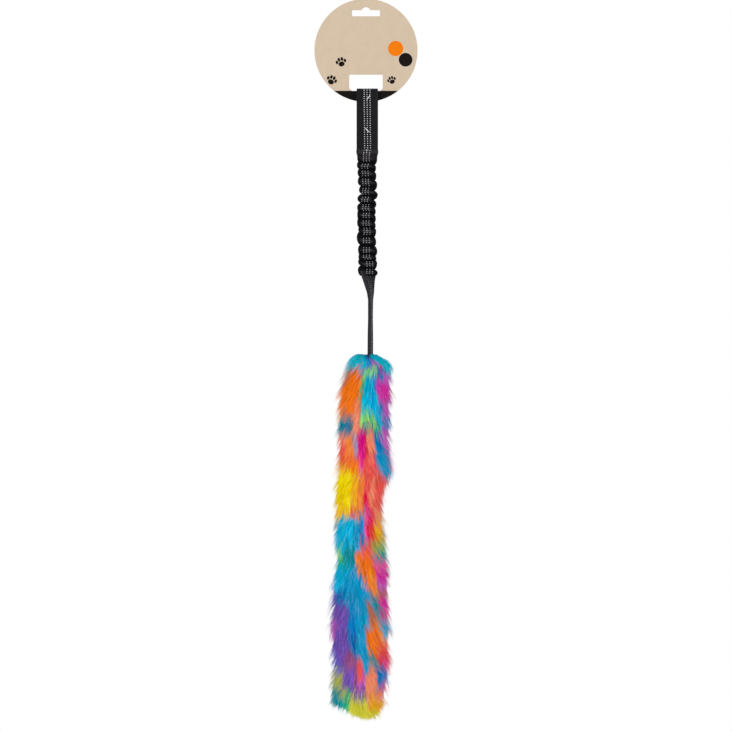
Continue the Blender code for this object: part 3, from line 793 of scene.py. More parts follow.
sleeve_z = np.linspace(photo_z(SLEEVE_TOP_PX), photo_z(SLEEVE_END_PX), SLEEVE_ROWS)
left_x, left_passed = fold_edge(sleeve_z, LEFT_CRESTS_PX, LEFT_NOTCHES_PX)
right_x, right_passed = fold_edge(sleeve_z, RIGHT_CRESTS_PX, RIGHT_NOTCHES_PX)
middle_passed = folds_passed(sleeve_z, MIDDLE_CRESTS_PX, MIDDLE_NOTCHES_PX)
turn = np.arange(SLEEVE_COLUMNS) * (2 * math.pi / SLEEVE_COLUMNS)
power = 2 / SLEEVE_SQUARE
unit_x = np.sign(np.cos(turn)) * np.abs(np.cos(turn)) ** power
unit_y = np.sign(np.sin(turn)) * np.abs(np.sin(turn)) ** power
closing = step(sleeve_z, photo_z(SLEEVE_TOP_PX), photo_z(SLEEVE_TOP_PX + SEWN_TOP_PX))[:, None]
opening = step(sleeve_z, photo_z(SLEEVE_END_PX - HEM_TURN_PX), photo_z(SLEEVE_END_PX))[:, None]
off_middle = np.abs(unit_x[None])
edge_passed = np.where(unit_x[None] < 0, left_passed[:, None], right_passed[:, None])
sway = FOLD_SWAY * np.sin(SWAY_ACROSS * unit_x[None] + SWAY_DOWN * sleeve_z[:, None]) * (1 - off_middle ** 2)
passed = middle_passed[:, None] + (edge_passed - middle_passed[:, None]) * off_middle ** EDGE_POWER + sway
sleeve_fold = fullness(passed)
half_y = SLEEVE_DEPTH / 2 * (SEWN_DEPTH_SHARE + (1 - SEWN_DEPTH_SHARE) * closing)
half_y *= 1 - HEM_THINNING_SHARE * opening
bulge = FOLD_DEPTH * (sleeve_fold - FOLD_LEVEL) * (SEWN_FOLD_SHARE + (1 - SEWN_FOLD_SHARE) * closing)
bulge *= 1 - HEM_FLATTENING_SHARE * opening
ridge = SLEEVE_RIB * np.cos(2 * math.pi * unit_x[None] * (WEB_WIDTH / WARP_PITCH / 2))
sleeve_x = ((left_x + right_x) / 2)[:, None] + ((right_x - left_x) / 2)[:, None] * unit_x
sleeve_y = unit_y * (half_y + bulge + ridge)
droop = FOLD_LEAN * (sleeve_fold - 0.5) * closing * (1 - opening) * np.abs(unit_y)
sleeve_rings = np.stack([sleeve_x, sleeve_y, sleeve_z[:, None] - droop], -1)
sleeve_round = np.linspace(0, 2 * (WEB_WIDTH + SLEEVE_DEPTH), SLEEVE_COLUMNS + 1)
sleeve_along = path_length(sleeve_rings[:, SLEEVE_COLUMNS * 3 // 4])
# The sleeve's and the seam band's webbing, with painted highlights on the crests and painted shade in the
# folds.
gathers = web_finish("gathered_webbing", painted_light="crest_light", black=SLEEVE_SHADED_BLACK, pale=SLEEVE_HIGHLIGHT)
sleeve = tube("gathered_sleeve", sleeve_rings, sleeve_round, sleeve_along, gathers, sharp_deg=80)
# Painted light on the sleeve: a highlight on each fold's crest, and painted shade in its notches and towards
# both sides.
crest_light = sleeve_fold ** (1 / FOLD_POWER) * (1 - SIDE_SHADE_SHARE * off_middle ** SIDE_SHADE_POWER)
note(sleeve, "crest_light", crest_light * closing + SEAM_CREST_LIGHT * (1 - closing))
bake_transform(sleeve)
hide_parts("bungee_sleeve")


def on_front(x_px, rows):
    """Places on the sleeve's front at a pixel across, for each row, and how full the fold is there.

    The two points of the ring on either side of the place are found, and the place lies between them.
    """
    front = slice(SLEEVE_COLUMNS // 2, SLEEVE_COLUMNS)
    line, full = sleeve_rings[rows, front], sleeve_fold[rows, front]
    after = np.clip((line[..., 0] < photo_x(x_px)[:, None]).sum(1), 1, line.shape[1] - 1)
    row = np.arange(len(rows))
    low, high = line[row, after - 1], line[row, after]
    share = ((photo_x(x_px) - low[:, 0]) / (high[:, 0] - low[:, 0]))[:, None]
    full = full[row, after - 1] * (1 - share[:, 0]) + full[row, after] * share[:, 0]
    return low * (1 - share) + high * share, full


# A dimmer copy of the reflective thread for the dashes on the sleeve and the strap: painted shade.
shaded_thread = thread_finish("shaded_thread", SHADED_THREAD_DULL, SHADED_THREAD_BRIGHT)
thread_rows = np.arange(THREAD_TOP_ROWS, SLEEVE_ROWS - THREAD_END_ROWS)
middle_px = down(sleeve_z[thread_rows], THREADS_PX)
middle_line, middle_full = on_front(middle_px, thread_rows)
index = spaced(middle_line, SLEEVE_DASH_PITCH)
index = index[np.interp(index, np.arange(len(middle_full)), middle_full) > SHOWN_FULLNESS]
rows = []
for shift in (-THREAD_STEP_PX, 0, THREAD_STEP_PX):
    line, _ = on_front(middle_px + shift, thread_rows)
    slope = units(read(np.gradient(line, axis=0), index))
    out = units(np.cross(np.array((1.0, 0, 0)), slope))
    rows.append((read(line, index), slope, -np.sign(out[:, 1])[:, None] * out))
sleeve_dashes = dashes("sleeve_threads", rows, SLEEVE_DASH_HALF, shaded_thread)
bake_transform(sleeve_dashes)


# Seam band
# The top of the gathered tube is folded over the handle's two ends and sewn through all of them.
SEAM_TOP_PX = 147.5
SEAM_END_PX = 157.2
SEAM_ROWS = 90
SEAM_HALF_DEPTH = 0.00262
SEAM_SWELL_PX = (
    (147.5, 0), (150.5, 0.10), (152, 0.42), (153.6, 0.30), (155.2, -0.55), (156.4, 0), (157.2, 0.1),
)
SEAM_EDGE_PX = ((147.5, 0), (150, 0.1), (151.6, 0.5), (153.5, 0.1), (155.2, -0.5), (157.2, -0.9))
MILLIMETRE = 0.001
CREST_LIGHT_PER_METRE_OUT = 200

seam_z = photo_z(np.linspace(SEAM_TOP_PX, SEAM_END_PX, SEAM_ROWS))
seam_swell = down(seam_z, SEAM_SWELL_PX)[:, None] * MILLIMETRE
seam_wider = down(seam_z, SEAM_EDGE_PX)[:, None] * MILLIMETRE
seam_x, seam_y = web_section(WEB_WIDTH / 2, SEAM_HALF_DEPTH)
seam_rings = np.stack([
    HANDLE_X + seam_x[None] * (1 + seam_wider / (WEB_WIDTH / 2)),
    seam_y[None] * (1 + seam_swell / SEAM_HALF_DEPTH),
    seam_z[:, None] + 0 * seam_x[None],
], -1)
seam = tube("seam_band", seam_rings, round_length(seam_x, seam_y), -seam_z, gathers, sharp_deg=80)
# Painted light on the seam band: an even level, paler where the band swells out and darker where it dips in.
note(seam, "crest_light", SEAM_CREST_LIGHT + 0 * seam_rings[..., 0] + CREST_LIGHT_PER_METRE_OUT * seam_swell)
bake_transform(seam)
seam_face = -SEAM_HALF_DEPTH - seam_swell[:, 0]
forward = np.tile((0.0, -1.0, 0.0), (SEAM_ROWS, 1))
rows = []
for shift in (-THREAD_STEP_PX, 0, THREAD_STEP_PX):
    thread_x = photo_x(down(seam_z, THREADS_PX) + shift)
    rows.append(dash_row(np.stack([thread_x, seam_face, seam_z], 1), forward))
seam_dashes = dashes("seam_threads", rows, DASH_HALF, thread)
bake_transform(seam_dashes)


# Elastic
# A flat band of rubber threads in a woven cover. It lies inside the sleeve, is sewn in at both ends while
# it is stretched, and pulls the sleeve into its folds when it is let go.
ELASTIC_WIDTH = 0.0140
ELASTIC_THICKNESS = 0.0030
ELASTIC_ROWS = 120
ELASTIC_LOW_INSET = 0.012
PICK_PITCH = 0.0016
PICK_SWELL_SHARE = 0.06
RUBBER_PITCH = 0.0009

elastic_low, elastic_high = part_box("bungee_elastic")
elastic_z = np.linspace(elastic_high.z, elastic_low.z + ELASTIC_LOW_INSET, ELASTIC_ROWS)
elastic_x, elastic_y = web_section(ELASTIC_WIDTH / 2, ELASTIC_THICKNESS / 2)
elastic_rings = np.stack([
    HANDLE_X + elastic_x[None] + 0 * elastic_z[:, None],
    elastic_y[None] * (1 + PICK_SWELL_SHARE * np.cos(2 * math.pi * elastic_z[:, None] / PICK_PITCH)),
    elastic_z[:, None] + 0 * elastic_x[None],
], -1)
rubber = Finish("woven_elastic", Roughness=0.7, Specular_IOR_Level=0.3)
rubber_across, rubber_along, _ = rubber.axes(rubber.node("UVMap", uv_map="cloth"))
rubber_weave = rubber_across.ribs(RUBBER_PITCH) * rubber_along.ribs(PICK_PITCH)
rubber.shows(
    Base_Color=rubber.mix(rubber_weave, screen(40, 40, 43), screen(84, 84, 88)),
    Normal=rubber.bump(rubber_weave, 0.0002),
)
elastic_round = round_length(elastic_x, elastic_y)
elastic = tube("elastic_band", elastic_rings, elastic_round, -elastic_z, rubber.material, sharp_deg=80)
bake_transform(elastic)
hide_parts("bungee_elastic")


# Strap
# Webbing again, from the sleeve's hem to deep inside the tail. It turns by about 80 degrees on the way, so
# its left edge comes to the front. It is made in three lengths, one for each place where it bends or turns.
TURNS_PX = (
    (262, 20), (270, 38), (274, 46), (276, 51), (279, 56.5), (284, 63.5), (288, 68.5), (292, 74), (296, 77.5),
    (300, 81), (318, 82), (335, 80), (356, 79.5),
)
STRAP_MIDDLE_PX = (
    (262, 367.5), (274, 368.3), (276, 368.6), (280, 368.8), (284, 369.3), (288, 369.8), (292, 370.4),
    (299, 370.6), (312, 370.5), (356, 370.3),
)
STRAP_TOP_PX = 271
STRAP_ROWS_PER_MM = 2.2
STRAP_DASH_HALF = (0.00036, 0.00042, 0.00018)
# The strap's pale, lighter than the handle's: painted sheen.
STRAP_SHEEN = screen(62, 58, 64)
HIDDEN_PX = (355, 370.3)
CORE_MIDDLE_IN = 0.0022
HALF_BEND_GAP = 0.00035
TOP_CUT = 0.009
LOW_CUT = 0.010
TOP_BEND_ABOVE = 0.004
TOP_BEND_BELOW = 0.007
LOW_BEND_HALF = 0.008
TURN_OVERRUN = 0.002


def strap_rings(top, end):
    """The webbing's section along the strap, turned about Z by the angle for its height, and its heights.

    Inside the fur its middle goes straight to the middle of the core.
    """
    heights = np.linspace(top, end, int((top - end) * 1000 * STRAP_ROWS_PER_MM))
    angle = np.radians(down(heights, TURNS_PX))[:, None]
    hidden_z, hidden_x = photo_z(HIDDEN_PX[0]), photo_x(HIDDEN_PX[1])
    core_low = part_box("tail_core_1")[0]
    to_core = np.interp(-heights, (-hidden_z, -core_low.z), (hidden_x, core_low.x + CORE_MIDDLE_IN))
    middle = np.where(heights < hidden_z, to_core, photo_x(down(heights, STRAP_MIDDLE_PX)))
    x = middle[:, None] + web_x * np.cos(angle) - web_y * np.sin(angle)
    y = web_x * np.sin(angle) + web_y * np.cos(angle)
    return np.stack([x, y, heights[:, None] + 0 * x], -1), heights


def strap_dashes(rings):
    """Rows of dashes on the strap's front face: its middle line, moved across to each thread's place."""
    front = rings[:, WEB_FLAT_STEPS * 3 // 2 + WEB_END_STEPS]
    edge = units(rings[:, WEB_FLAT_STEPS + WEB_END_STEPS] - front)
    out = np.stack([-edge[:, 1], edge[:, 0], 0 * edge[:, 2]], 1)
    out *= -np.sign((out * (rings.mean(1) - front)).sum(1))[:, None]
    return [dash_row(front + edge * offset, out) for offset in THREAD_OFFSETS]


top_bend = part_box("strap_head")[0].z - HALF_BEND_GAP
low_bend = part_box("strap_run")[0].z - HALF_BEND_GAP
top_cut = top_bend - TOP_CUT
low_cut = low_bend + LOW_CUT
strap_parts = (
    ("top", ("strap_head",), float(photo_z(STRAP_TOP_PX)), top_cut,
     "strap_top", "strap_middle", top_bend + TOP_BEND_ABOVE, top_bend - TOP_BEND_BELOW),
    ("turning", ("strap_twist",), top_cut, low_cut,
     "strap_middle", "strap_low", top_cut - TURN_OVERRUN, low_cut + TURN_OVERRUN),
    ("end", ("strap_run", "tail_core_1"), low_cut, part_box("tail_core_1")[0].z,
     "strap_low", "tail_1", low_bend + LOW_BEND_HALF, low_bend - LOW_BEND_HALF),
)
# The strap's webbing is paler than the handle's: painted sheen where the turned strap catches the light.
sheened_strap_webbing = web_finish("sheened_strap_webbing", selvage=True, pale=STRAP_SHEEN)
for name, nodes, top, end, above, below, bend_start, bend_end in strap_parts:
    rings, heights = strap_rings(top, end)
    part = tube(f"strap_{name}_webbing", rings, web_round, -heights, sheened_strap_webbing, sharp_deg=80)
    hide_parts(*nodes)
    part_dashes = dashes(f"strap_{name}_threads", strap_dashes(rings), STRAP_DASH_HALF, shaded_thread)
    for made in (part, part_dashes):
        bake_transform(made)


def refinish(names, material):
    """Gives solids that keep their shape this material in place of their plain one."""
    for name in names:
        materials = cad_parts[name].data.materials
        materials.clear()
        materials.append(material)


refinish([f"tail_core_{number}" for number in range(2, 6)], web_finish("core_webbing", cloth_map=False))


# Stitching
# Bonded black thread of two plies, sewn in a zigzag through webbing and elastic at both ends of the sleeve,
# at the front and the back. The stitches are solids already, so they only get their finish here.
PLY_PITCH = 0.00045

stitch = Finish("stitching", Roughness=0.5, Specular_IOR_Level=0.4)
stitch_x, _, stitch_z = stitch.axes(stitch.place())
ply = (stitch_x + stitch_z).ribs(PLY_PITCH)
stitch.shows(
    Base_Color=stitch.mix(ply, screen(22, 22, 25), screen(58, 57, 62)),
    Normal=stitch.bump(ply, 0.0001),
)
stitched = [f"{end}_stitches_{side}" for end in ("upper", "lower") for side in ("front", "back")]
refinish(stitched, stitch.material)


# Fur backing
# Knitted cloth, dyed in patches of many colours and sewn into one tube round the strap. The pile hides it.
# It is made in six lengths, of which the four in the middle each cross a place where the tail bends.
FUR_TOP_PX = 355.4
FUR_END_PX = 719.0
EDGES_PX = (
    (355.4, 354, 377), (357.5, 352, 380), (362, 351.5, 387), (366, 350.5, 389), (372, 348.8, 389.1),
    (378, 346.8, 388.1), (384, 344.8, 388.1), (390, 342.3, 388.6), (400, 340.8, 389.1), (412, 340.8, 387.6),
    (426, 340.8, 388.1), (438, 340.8, 386.6), (450, 341.8, 387.6), (462, 340.8, 388.1), (474, 340.3, 389.1),
    (482, 338.8, 387.1), (489, 337.8, 382.1), (500, 337.3, 380.6), (515, 338.3, 380.1), (526, 336.8, 380.6),
    (540, 336.3, 382.6), (552, 338.3, 383.1), (564, 338.8, 385.6), (576, 336.3, 386.6), (590, 334.8, 384.6),
    (600, 334.3, 385.1), (610, 334.3, 387.1), (620, 333.3, 385.6), (630, 332.3, 388.6), (640, 333.8, 385.6),
    (650, 334.8, 385.6), (660, 335.3, 387.6), (672, 335.8, 386.1), (684, 333.8, 384.6), (696, 334.3, 381.1),
    (702, 336.8, 379.6), (708, 342.8, 378.1), (714, 354.8, 373.6),
)
FUR_DEPTH_SHARE = 0.88
LEAST_SHARE = 0.12
PILE_DEPTH = 0.0165
HEM_PX = 699
HEM_CLOSING = 0.92
MEAN_RADIUS = 0.032
EDGE_ANGLE = 0.95
WRAP_ANGLE = 1.95
WRAP_VARIES = 0.3
WRAP_STEP = 2.4
BACK_ANGLE = 0.95
SIDE_START = 1.3
SIDE_DRIFT = 0.030
SIDE_WAVE = 0.021
SIDE_PHASE = 1.7
BACKING_ROWS_PER_MM = 0.8
BACKING_COLUMNS = 72
BACKING_UNDER_PILE = 0.0008
BACKING_TOP_INSET = 0.002
BACKING_END_INSET = 0.010
BACKING_RADIUS = 0.017
PUCKER = 0.0012
PUCKER_WAVES = ((5, 60), (3, -35))
WALE_PITCH = 0.0016
COURSE_PITCH = 0.0014
BEND_SHARES = (0.24, 0.43, 0.62, 0.81)
BEND_HALF_ZONE = 0.028
PALETTE = {
    "turquoise": (0, 176, 220), "cyan": (0, 192, 218), "blue": (0, 124, 198), "deep_blue": (0, 90, 170),
    "azure": (0, 152, 204), "petrol": (0, 118, 156), "teal": (0, 146, 160), "green": (36, 184, 124),
    "lime": (142, 224, 116), "olive": (172, 174, 82), "citron": (216, 210, 56), "yellow": (255, 218, 0),
    "amber": (255, 178, 24), "orange": (255, 116, 14), "tangerine": (252, 134, 50), "coral": (250, 88, 78),
    "salmon": (255, 142, 104), "peach": (255, 190, 138), "brown": (182, 104, 74), "red": (238, 66, 40),
    "crimson": (236, 20, 72), "magenta": (226, 8, 132), "fuchsia": (214, 44, 160), "pink": (238, 88, 158),
    "orchid": (198, 92, 190), "plum": (152, 78, 132), "purple": (114, 78, 178), "violet": (92, 88, 204),
    "lavender": (158, 152, 190),
}
PATCHES_PX = (
    ("cyan", 358, 361, 9, 6, 0), ("cyan", 347, 362, 5, 5, 0), ("turquoise", 362, 369, 4, 5, 10),
    ("cyan", 384, 362, 8, 5, 20), ("blue", 370, 360, 4, 4, 0), ("violet", 369.5, 366, 2.5, 3, 0),
    ("cyan", 389, 370, 4, 5, 0), ("orchid", 377, 365, 4, 2.5, 40), ("magenta", 381, 368.5, 3, 2.5, 40),
    ("blue", 380, 375, 3.6, 5, 10), ("orchid", 387, 380, 3, 8, 5), ("fuchsia", 382.5, 392, 6.6, 10, 5),
    ("orchid", 387, 410, 3.5, 10, 0), ("violet", 375.5, 386, 1.6, 7, 6), ("lime", 370, 371.5, 6.5, 3.2, 0),
    ("lime", 364, 378, 1.6, 8, -10), ("green", 361.2, 392, 1.2, 10, 0), ("cyan", 363.5, 398, 2.6, 14, 0),
    ("turquoise", 370, 393, 5, 19, 0), ("blue", 373.5, 396, 1.6, 11, 0), ("turquoise", 376, 398, 2.4, 11, 6),
    ("blue", 381, 408, 2, 8, 10), ("turquoise", 379.5, 416, 3.5, 8, 8), ("brown", 346, 378, 3, 7, -10),
    ("orange", 355, 377, 3.5, 8, 0), ("orange", 350, 399, 6.5, 17, 0), ("tangerine", 343.5, 400, 3, 13, 0),
    ("peach", 339.5, 402, 1.8, 12, 0), ("salmon", 356, 416, 3.2, 16, 0), ("teal", 341, 423, 5, 8.5, 0),
    ("petrol", 348, 424, 3.8, 8, 0), ("lime", 368, 418, 7.5, 5.5, 0), ("teal", 368, 425, 4, 4.5, 0),
    ("lime", 375.5, 422, 3, 5, 30), ("green", 378, 430, 1.8, 5, 14), ("lavender", 355, 442, 2.2, 10, 0),
    ("salmon", 342, 437, 4, 5, 0), ("coral", 343, 447, 4, 6, 0), ("tangerine", 349.5, 447, 3.4, 10, 0),
    ("red", 346, 457, 4.5, 5, 0), ("orange", 354, 465, 3.6, 7, 8), ("tangerine", 342, 465, 4, 4, 0),
    ("magenta", 362, 447, 3.8, 13, 0), ("crimson", 366.5, 450, 1.8, 11, 0), ("pink", 360, 469, 1.8, 7, 0),
    ("salmon", 371, 444, 3.4, 12, 0), ("coral", 369, 470, 4.6, 15, 6), ("crimson", 374.5, 455, 1.4, 8, 6),
    ("coral", 376, 488, 5.4, 15, 10), ("red", 380, 480, 1.6, 9, 12), ("salmon", 372, 492, 2.4, 14, 8),
    ("orchid", 384, 436, 2.4, 8, 14), ("blue", 388, 424, 2.5, 6, 8), ("blue", 379.5, 443, 3.2, 9, 16),
    ("azure", 385.5, 468, 4.2, 15, 20), ("orchid", 388.5, 447, 2.6, 7, 10), ("pink", 390, 458, 2, 6, 8),
    ("yellow", 345, 489, 6.5, 17, 0), ("amber", 353, 490, 3.4, 16, 4), ("tangerine", 360, 491, 3.2, 14, 8),
    ("crimson", 365.5, 499, 2.4, 11, 10), ("pink", 367.5, 511, 2, 8, 8), ("crimson", 371.5, 519, 2.4, 12, 5),
    ("salmon", 377, 514, 3, 8, 4), ("coral", 379, 503, 2.4, 9, 8), ("lavender", 384, 508, 1.6, 17, 4),
    ("amber", 342, 512, 5, 5, 0), ("coral", 352, 511, 3, 4, 0), ("tangerine", 357, 512, 3, 5, 0),
    ("turquoise", 348, 532, 8.5, 15, 0), ("cyan", 338, 534, 3.5, 8, 0), ("azure", 356, 532, 3.4, 14, 0),
    ("blue", 361.5, 533, 3, 14, 0), ("pink", 366.5, 530, 1.6, 8, 5), ("crimson", 369.5, 533, 1.8, 9, 4),
    ("red", 373, 531, 1.8, 9, 4), ("amber", 377.5, 531, 3.6, 7, 0), ("olive", 377, 543, 3, 6, 8),
    ("green", 381.5, 545, 2.2, 7, 0), ("teal", 381, 554, 2.6, 4, 8), ("lavender", 385, 540, 1.6, 9, 0),
    ("lime", 338.5, 552, 2.4, 5, 0), ("green", 344, 560, 2.6, 3, 0), ("teal", 349, 556, 5, 8, 0),
    ("coral", 365, 549, 5, 6, 4), ("orange", 366, 566, 6, 13, 6), ("amber", 370, 570, 2, 5, 10),
    ("tangerine", 357.5, 563, 2, 10, 0), ("tangerine", 374.5, 585, 3, 10, 38),
    ("brown", 378.5, 592, 2.4, 5, 30), ("pink", 382.5, 563, 2.6, 6, 6), ("fuchsia", 384, 571, 2.6, 7, 6),
    ("orchid", 385.5, 585, 3, 7, 6), ("turquoise", 340, 577, 5.4, 12, 0), ("azure", 352, 586, 7, 18, 0),
    ("azure", 362, 592, 5, 12, 14), ("blue", 341, 594, 4.6, 8, 0), ("violet", 335.5, 597, 3, 6, 0),
    ("purple", 341, 610, 4.6, 12, 0), ("orchid", 333.5, 618, 3.6, 15, 0), ("azure", 362, 613, 8, 15, 4),
    ("blue", 350.5, 624, 3.6, 18, 0), ("deep_blue", 354, 632, 2, 14, 0), ("brown", 372, 611, 2.2, 11, 18),
    ("teal", 377.5, 604, 2, 9, 14), ("fuchsia", 384.5, 601, 3.2, 9, 14), ("pink", 387, 614, 3.4, 6, 14),
    ("purple", 340, 640, 4.6, 18, 0), ("violet", 335.5, 655, 2.6, 14, 0), ("orchid", 334, 634, 2.4, 7, 0),
    ("azure", 361, 640, 6, 20, 8), ("teal", 372, 657, 3.4, 7, 34), ("turquoise", 386, 629, 4, 6, 22),
    ("tangerine", 379.5, 628, 2.4, 8, 24), ("orange", 373, 640, 6.2, 13, 12),
    ("salmon", 385, 640, 2.4, 4, 14), ("coral", 380, 649, 2.6, 8, 12), ("pink", 386.5, 661, 3, 12, 6),
    ("crimson", 384, 657, 1.6, 8, 8), ("blue", 380.3, 675, 1.8, 10, 6), ("pink", 385, 681, 3.0, 13, 4),
    ("plum", 348, 659, 4, 8, 0), ("purple", 348, 677, 5, 11, 0), ("plum", 355.5, 671, 2, 10, 0),
    ("coral", 360, 666, 3.4, 8, 0), ("orchid", 361, 679, 3, 6, 0), ("purple", 362, 691, 5, 6, 0),
    ("salmon", 372, 682, 5, 15, 0), ("salmon", 376.5, 694, 3, 7, 0), ("olive", 337.5, 680, 4.6, 7, 0),
    ("olive", 343, 690, 4, 6, 0), ("teal", 336.5, 694, 3, 6, 0), ("green", 346, 696, 2.6, 6, 0),
    ("teal", 344, 703, 3, 6, 0), ("green", 350, 707, 2.6, 6, 0), ("citron", 360, 706, 7, 9, 0),
    ("amber", 374, 703, 4, 9, 0), ("citron", 366, 713, 7, 4, 0),
)

fur_top = float(photo_z(FUR_TOP_PX))
fur_end = float(photo_z(FUR_END_PX))
fur_length = fur_top - fur_end
hem_z = float(photo_z(HEM_PX))


def fur_outline(z):
    """The middle of the tail and half its width at each height, from its two edges."""
    left, right = photo_x(down(z, EDGES_PX, 1)), photo_x(down(z, EDGES_PX, 2))
    return (left + right) / 2, (right - left) / 2


def on_fur(angle, z, inset):
    """A place in the fur: an angle round the tail from its front, a height, and a depth under its surface.

    It lies on an ellipse as wide as the tail's outline and a little less deep, both less the depth. Below
    the hem it is flatter by sqrt(1 - HEM_CLOSING * s ** 2), where s is the share of the way to the end.
    """
    middle, half = fur_outline(np.maximum(z, hem_z))
    wide = np.maximum(half - inset, LEAST_SHARE * half)
    past = np.clip((hem_z - z) / (hem_z - fur_end), 0, 1)
    deep = np.maximum(half * FUR_DEPTH_SHARE - inset, LEAST_SHARE * half)
    deep = deep * np.sqrt(1 - HEM_CLOSING * past ** 2)
    return np.stack([middle + wide * np.sin(angle), -deep * np.cos(angle), z], -1)


def patch_rows():
    """The patches as angle, height, half-widths and lean, and again on the back half a length lower.

    A place across is an angle: the arcsine of its share of the tail's half-width. A patch that reaches the
    edge goes on round the side, to an angle of its own.
    """
    x, y, half_w, half_h, lean = (np.array([row[i] for row in PATCHES_PX], float) for i in range(1, 6))
    z = photo_z(y)
    middle, half = fur_outline(z)
    low = np.arcsin(np.clip((photo_x(x - half_w) - middle) / half, -1, 1))
    high = np.arcsin(np.clip((photo_x(x + half_w) - middle) / half, -1, 1))
    wrap = WRAP_ANGLE + WRAP_VARIES * np.sin(WRAP_STEP * np.arange(len(low)))
    low = np.where(low < -EDGE_ANGLE, -wrap, low)
    high = np.where(high > EDGE_ANGLE, wrap, high)
    rows = np.stack([(low + high) / 2, z, (high - low) / 2, half_h * PIXEL, np.radians(lean)], 1)
    colours = np.array([screen(*PALETTE[row[0]])[:3] for row in PATCHES_PX])
    again = np.abs(rows[:, 0]) < BACK_ANGLE
    behind = rows[again]
    behind[:, 0] = math.pi - behind[:, 0]
    behind[:, 1] = fur_top - (fur_top - behind[:, 1] + fur_length / 2) % fur_length
    behind[:, 4] *= -1
    return np.concatenate([rows, behind]), np.concatenate([colours, colours[again]])


patches, patch_colours = patch_rows()


def patch_at(angle, z, jitter):
    """The number of the patch at a place: the one whose middle is nearest, measured in its own sizes.

    Each patch's distance gets a little jitter, which frays its edge. Round the sides the heights drift in
    waves, so that no patch goes round the tail as a level stripe.
    """
    turned = (angle + math.pi) % (2 * math.pi) - math.pi
    beyond = np.clip((np.abs(turned) - SIDE_START) / (math.pi - SIDE_START), 0, 1)
    wave = np.sin(z / SIDE_WAVE + SIDE_PHASE * np.sign(turned))
    z = z + SIDE_DRIFT * np.sin(math.pi * beyond) ** 2 * wave
    found = np.zeros(len(angle), int)
    nearest = np.full(len(angle), np.inf)
    for number, (middle, height, half_angle, half_height, lean) in enumerate(patches):
        below = height - z
        off = (angle - middle + math.pi) % (2 * math.pi) - math.pi
        off = off - np.tan(lean) * below / MEAN_RADIUS
        apart = np.hypot(off / half_angle, below / half_height) + jitter[:, number % jitter.shape[1]]
        closer = apart < nearest
        nearest = np.where(closer, apart, nearest)
        found = np.where(closer, number, found)
    return found


def dye_and_shade(piece, colours):
    """Keeps a colour for each point of a piece, for its finish to read."""
    layer = piece.data.color_attributes.new("pile_colour", "FLOAT_COLOR", "POINT")
    full = np.concatenate([colours, np.ones((len(colours), 1))], 1)
    layer.data.foreach_set("color", full.astype(np.float32).ravel())


cloth = Finish("pile_backing", Roughness=0.95, Specular_IOR_Level=0.1)
cloth_dye = cloth.node("VertexColor", layer_name="pile_colour")
cloth_across, cloth_along, _ = cloth.axes(cloth.node("UVMap", uv_map="cloth"))
wales = cloth_across.ribs(WALE_PITCH)
knit = wales * (cloth_along + wales * (COURSE_PITCH / 2)).ribs(COURSE_PITCH)
cloth.shows(
    Base_Color=cloth.node("HueSaturation", {"Value": knit * 0.3 + 0.55, "Color": cloth_dye}),
    Normal=cloth.bump(knit, 0.0004),
)

stops = (0, *BEND_SHARES, 1)
cuts = [0, *((a + b) / 2 for a, b in zip(stops, stops[1:])), 1]
lengths = list(zip(cuts, cuts[1:]))
solids_top, solids_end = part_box("fur_1")[1].z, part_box("fur_5")[0].z
bend_z = [solids_top - share * (solids_top - solids_end) for share in BEND_SHARES]
bend_x = [float(fur_outline(z)[0]) for z in bend_z]


def sew(piece, number):
    """Joins a piece of one length of the tail to what carries it.

    The first and the last length each ride on one body. The others cross a bend, but are only fixed where
    they stand.
    """
    if number in (1, len(lengths)):
        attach(piece, f"tail_{min(number, len(lengths) - 1)}")
        return
    x, z = bend_x[number - 2], bend_z[number - 2]
    f"tail_{number - 1}"
    z + BEND_HALF_ZONE
    z - BEND_HALF_ZONE
    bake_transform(piece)


for number, (low, high) in enumerate(lengths, 1):
    top = fur_top - fur_length * low - (BACKING_TOP_INSET if low == 0 else 0)
    end = fur_top - fur_length * high + (BACKING_END_INSET if high == 1 else 0)
    heights = np.linspace(top, end, int((high - low) * fur_length * 1000 * BACKING_ROWS_PER_MM) + 3)
    angle, z = np.meshgrid(np.arange(BACKING_COLUMNS) * (2 * math.pi / BACKING_COLUMNS), heights)
    puckers = PUCKER
    for turns, waves in PUCKER_WAVES:
        puckers = puckers * np.sin(turns * angle + waves * z)
    rings = on_fur(angle, z, PILE_DEPTH + BACKING_UNDER_PILE + puckers)
    around = np.linspace(0, 2 * math.pi * BACKING_RADIUS, BACKING_COLUMNS + 1)
    backing = tube(f"fur_{number}_backing", rings, around, -heights, cloth.material)
    dye_and_shade(backing, patch_colours[patch_at(angle.ravel(), z.ravel(), np.zeros((z.size, 1)))])
    sew(backing, number)


# Fur pile
# Soft acrylic hair, about 30 mm long, knitted into the backing. It leaves the cloth all round, falls over the
# pile below it and clings in pointed locks. Wisps stand clear of it, and loose strands lie across it.
PILE_FALL = 0.0290
LOCK_ROW_PITCH = 0.0042
LOCKS_ROUND = 50
LOCK_STAGGER = 0.5
LOCK_JITTER = 0.45
LOCK_SPREAD = 0.0021
LOCK_DRAW = 0.60
LOCK_CLEAR = (0.009, 0.001)
STRANDS_PER_LOCK = 11
TUFT_ROWS = 4
TUFT_COLUMNS = 5
TUFT_FRAY = 3
TUFT_SHIFT = 2
WILD_SHARE = 0.15
DEEP_SHARE = 0.12
DEEP_INSET = 0.0018
LOOSE_SHARE = 0.06
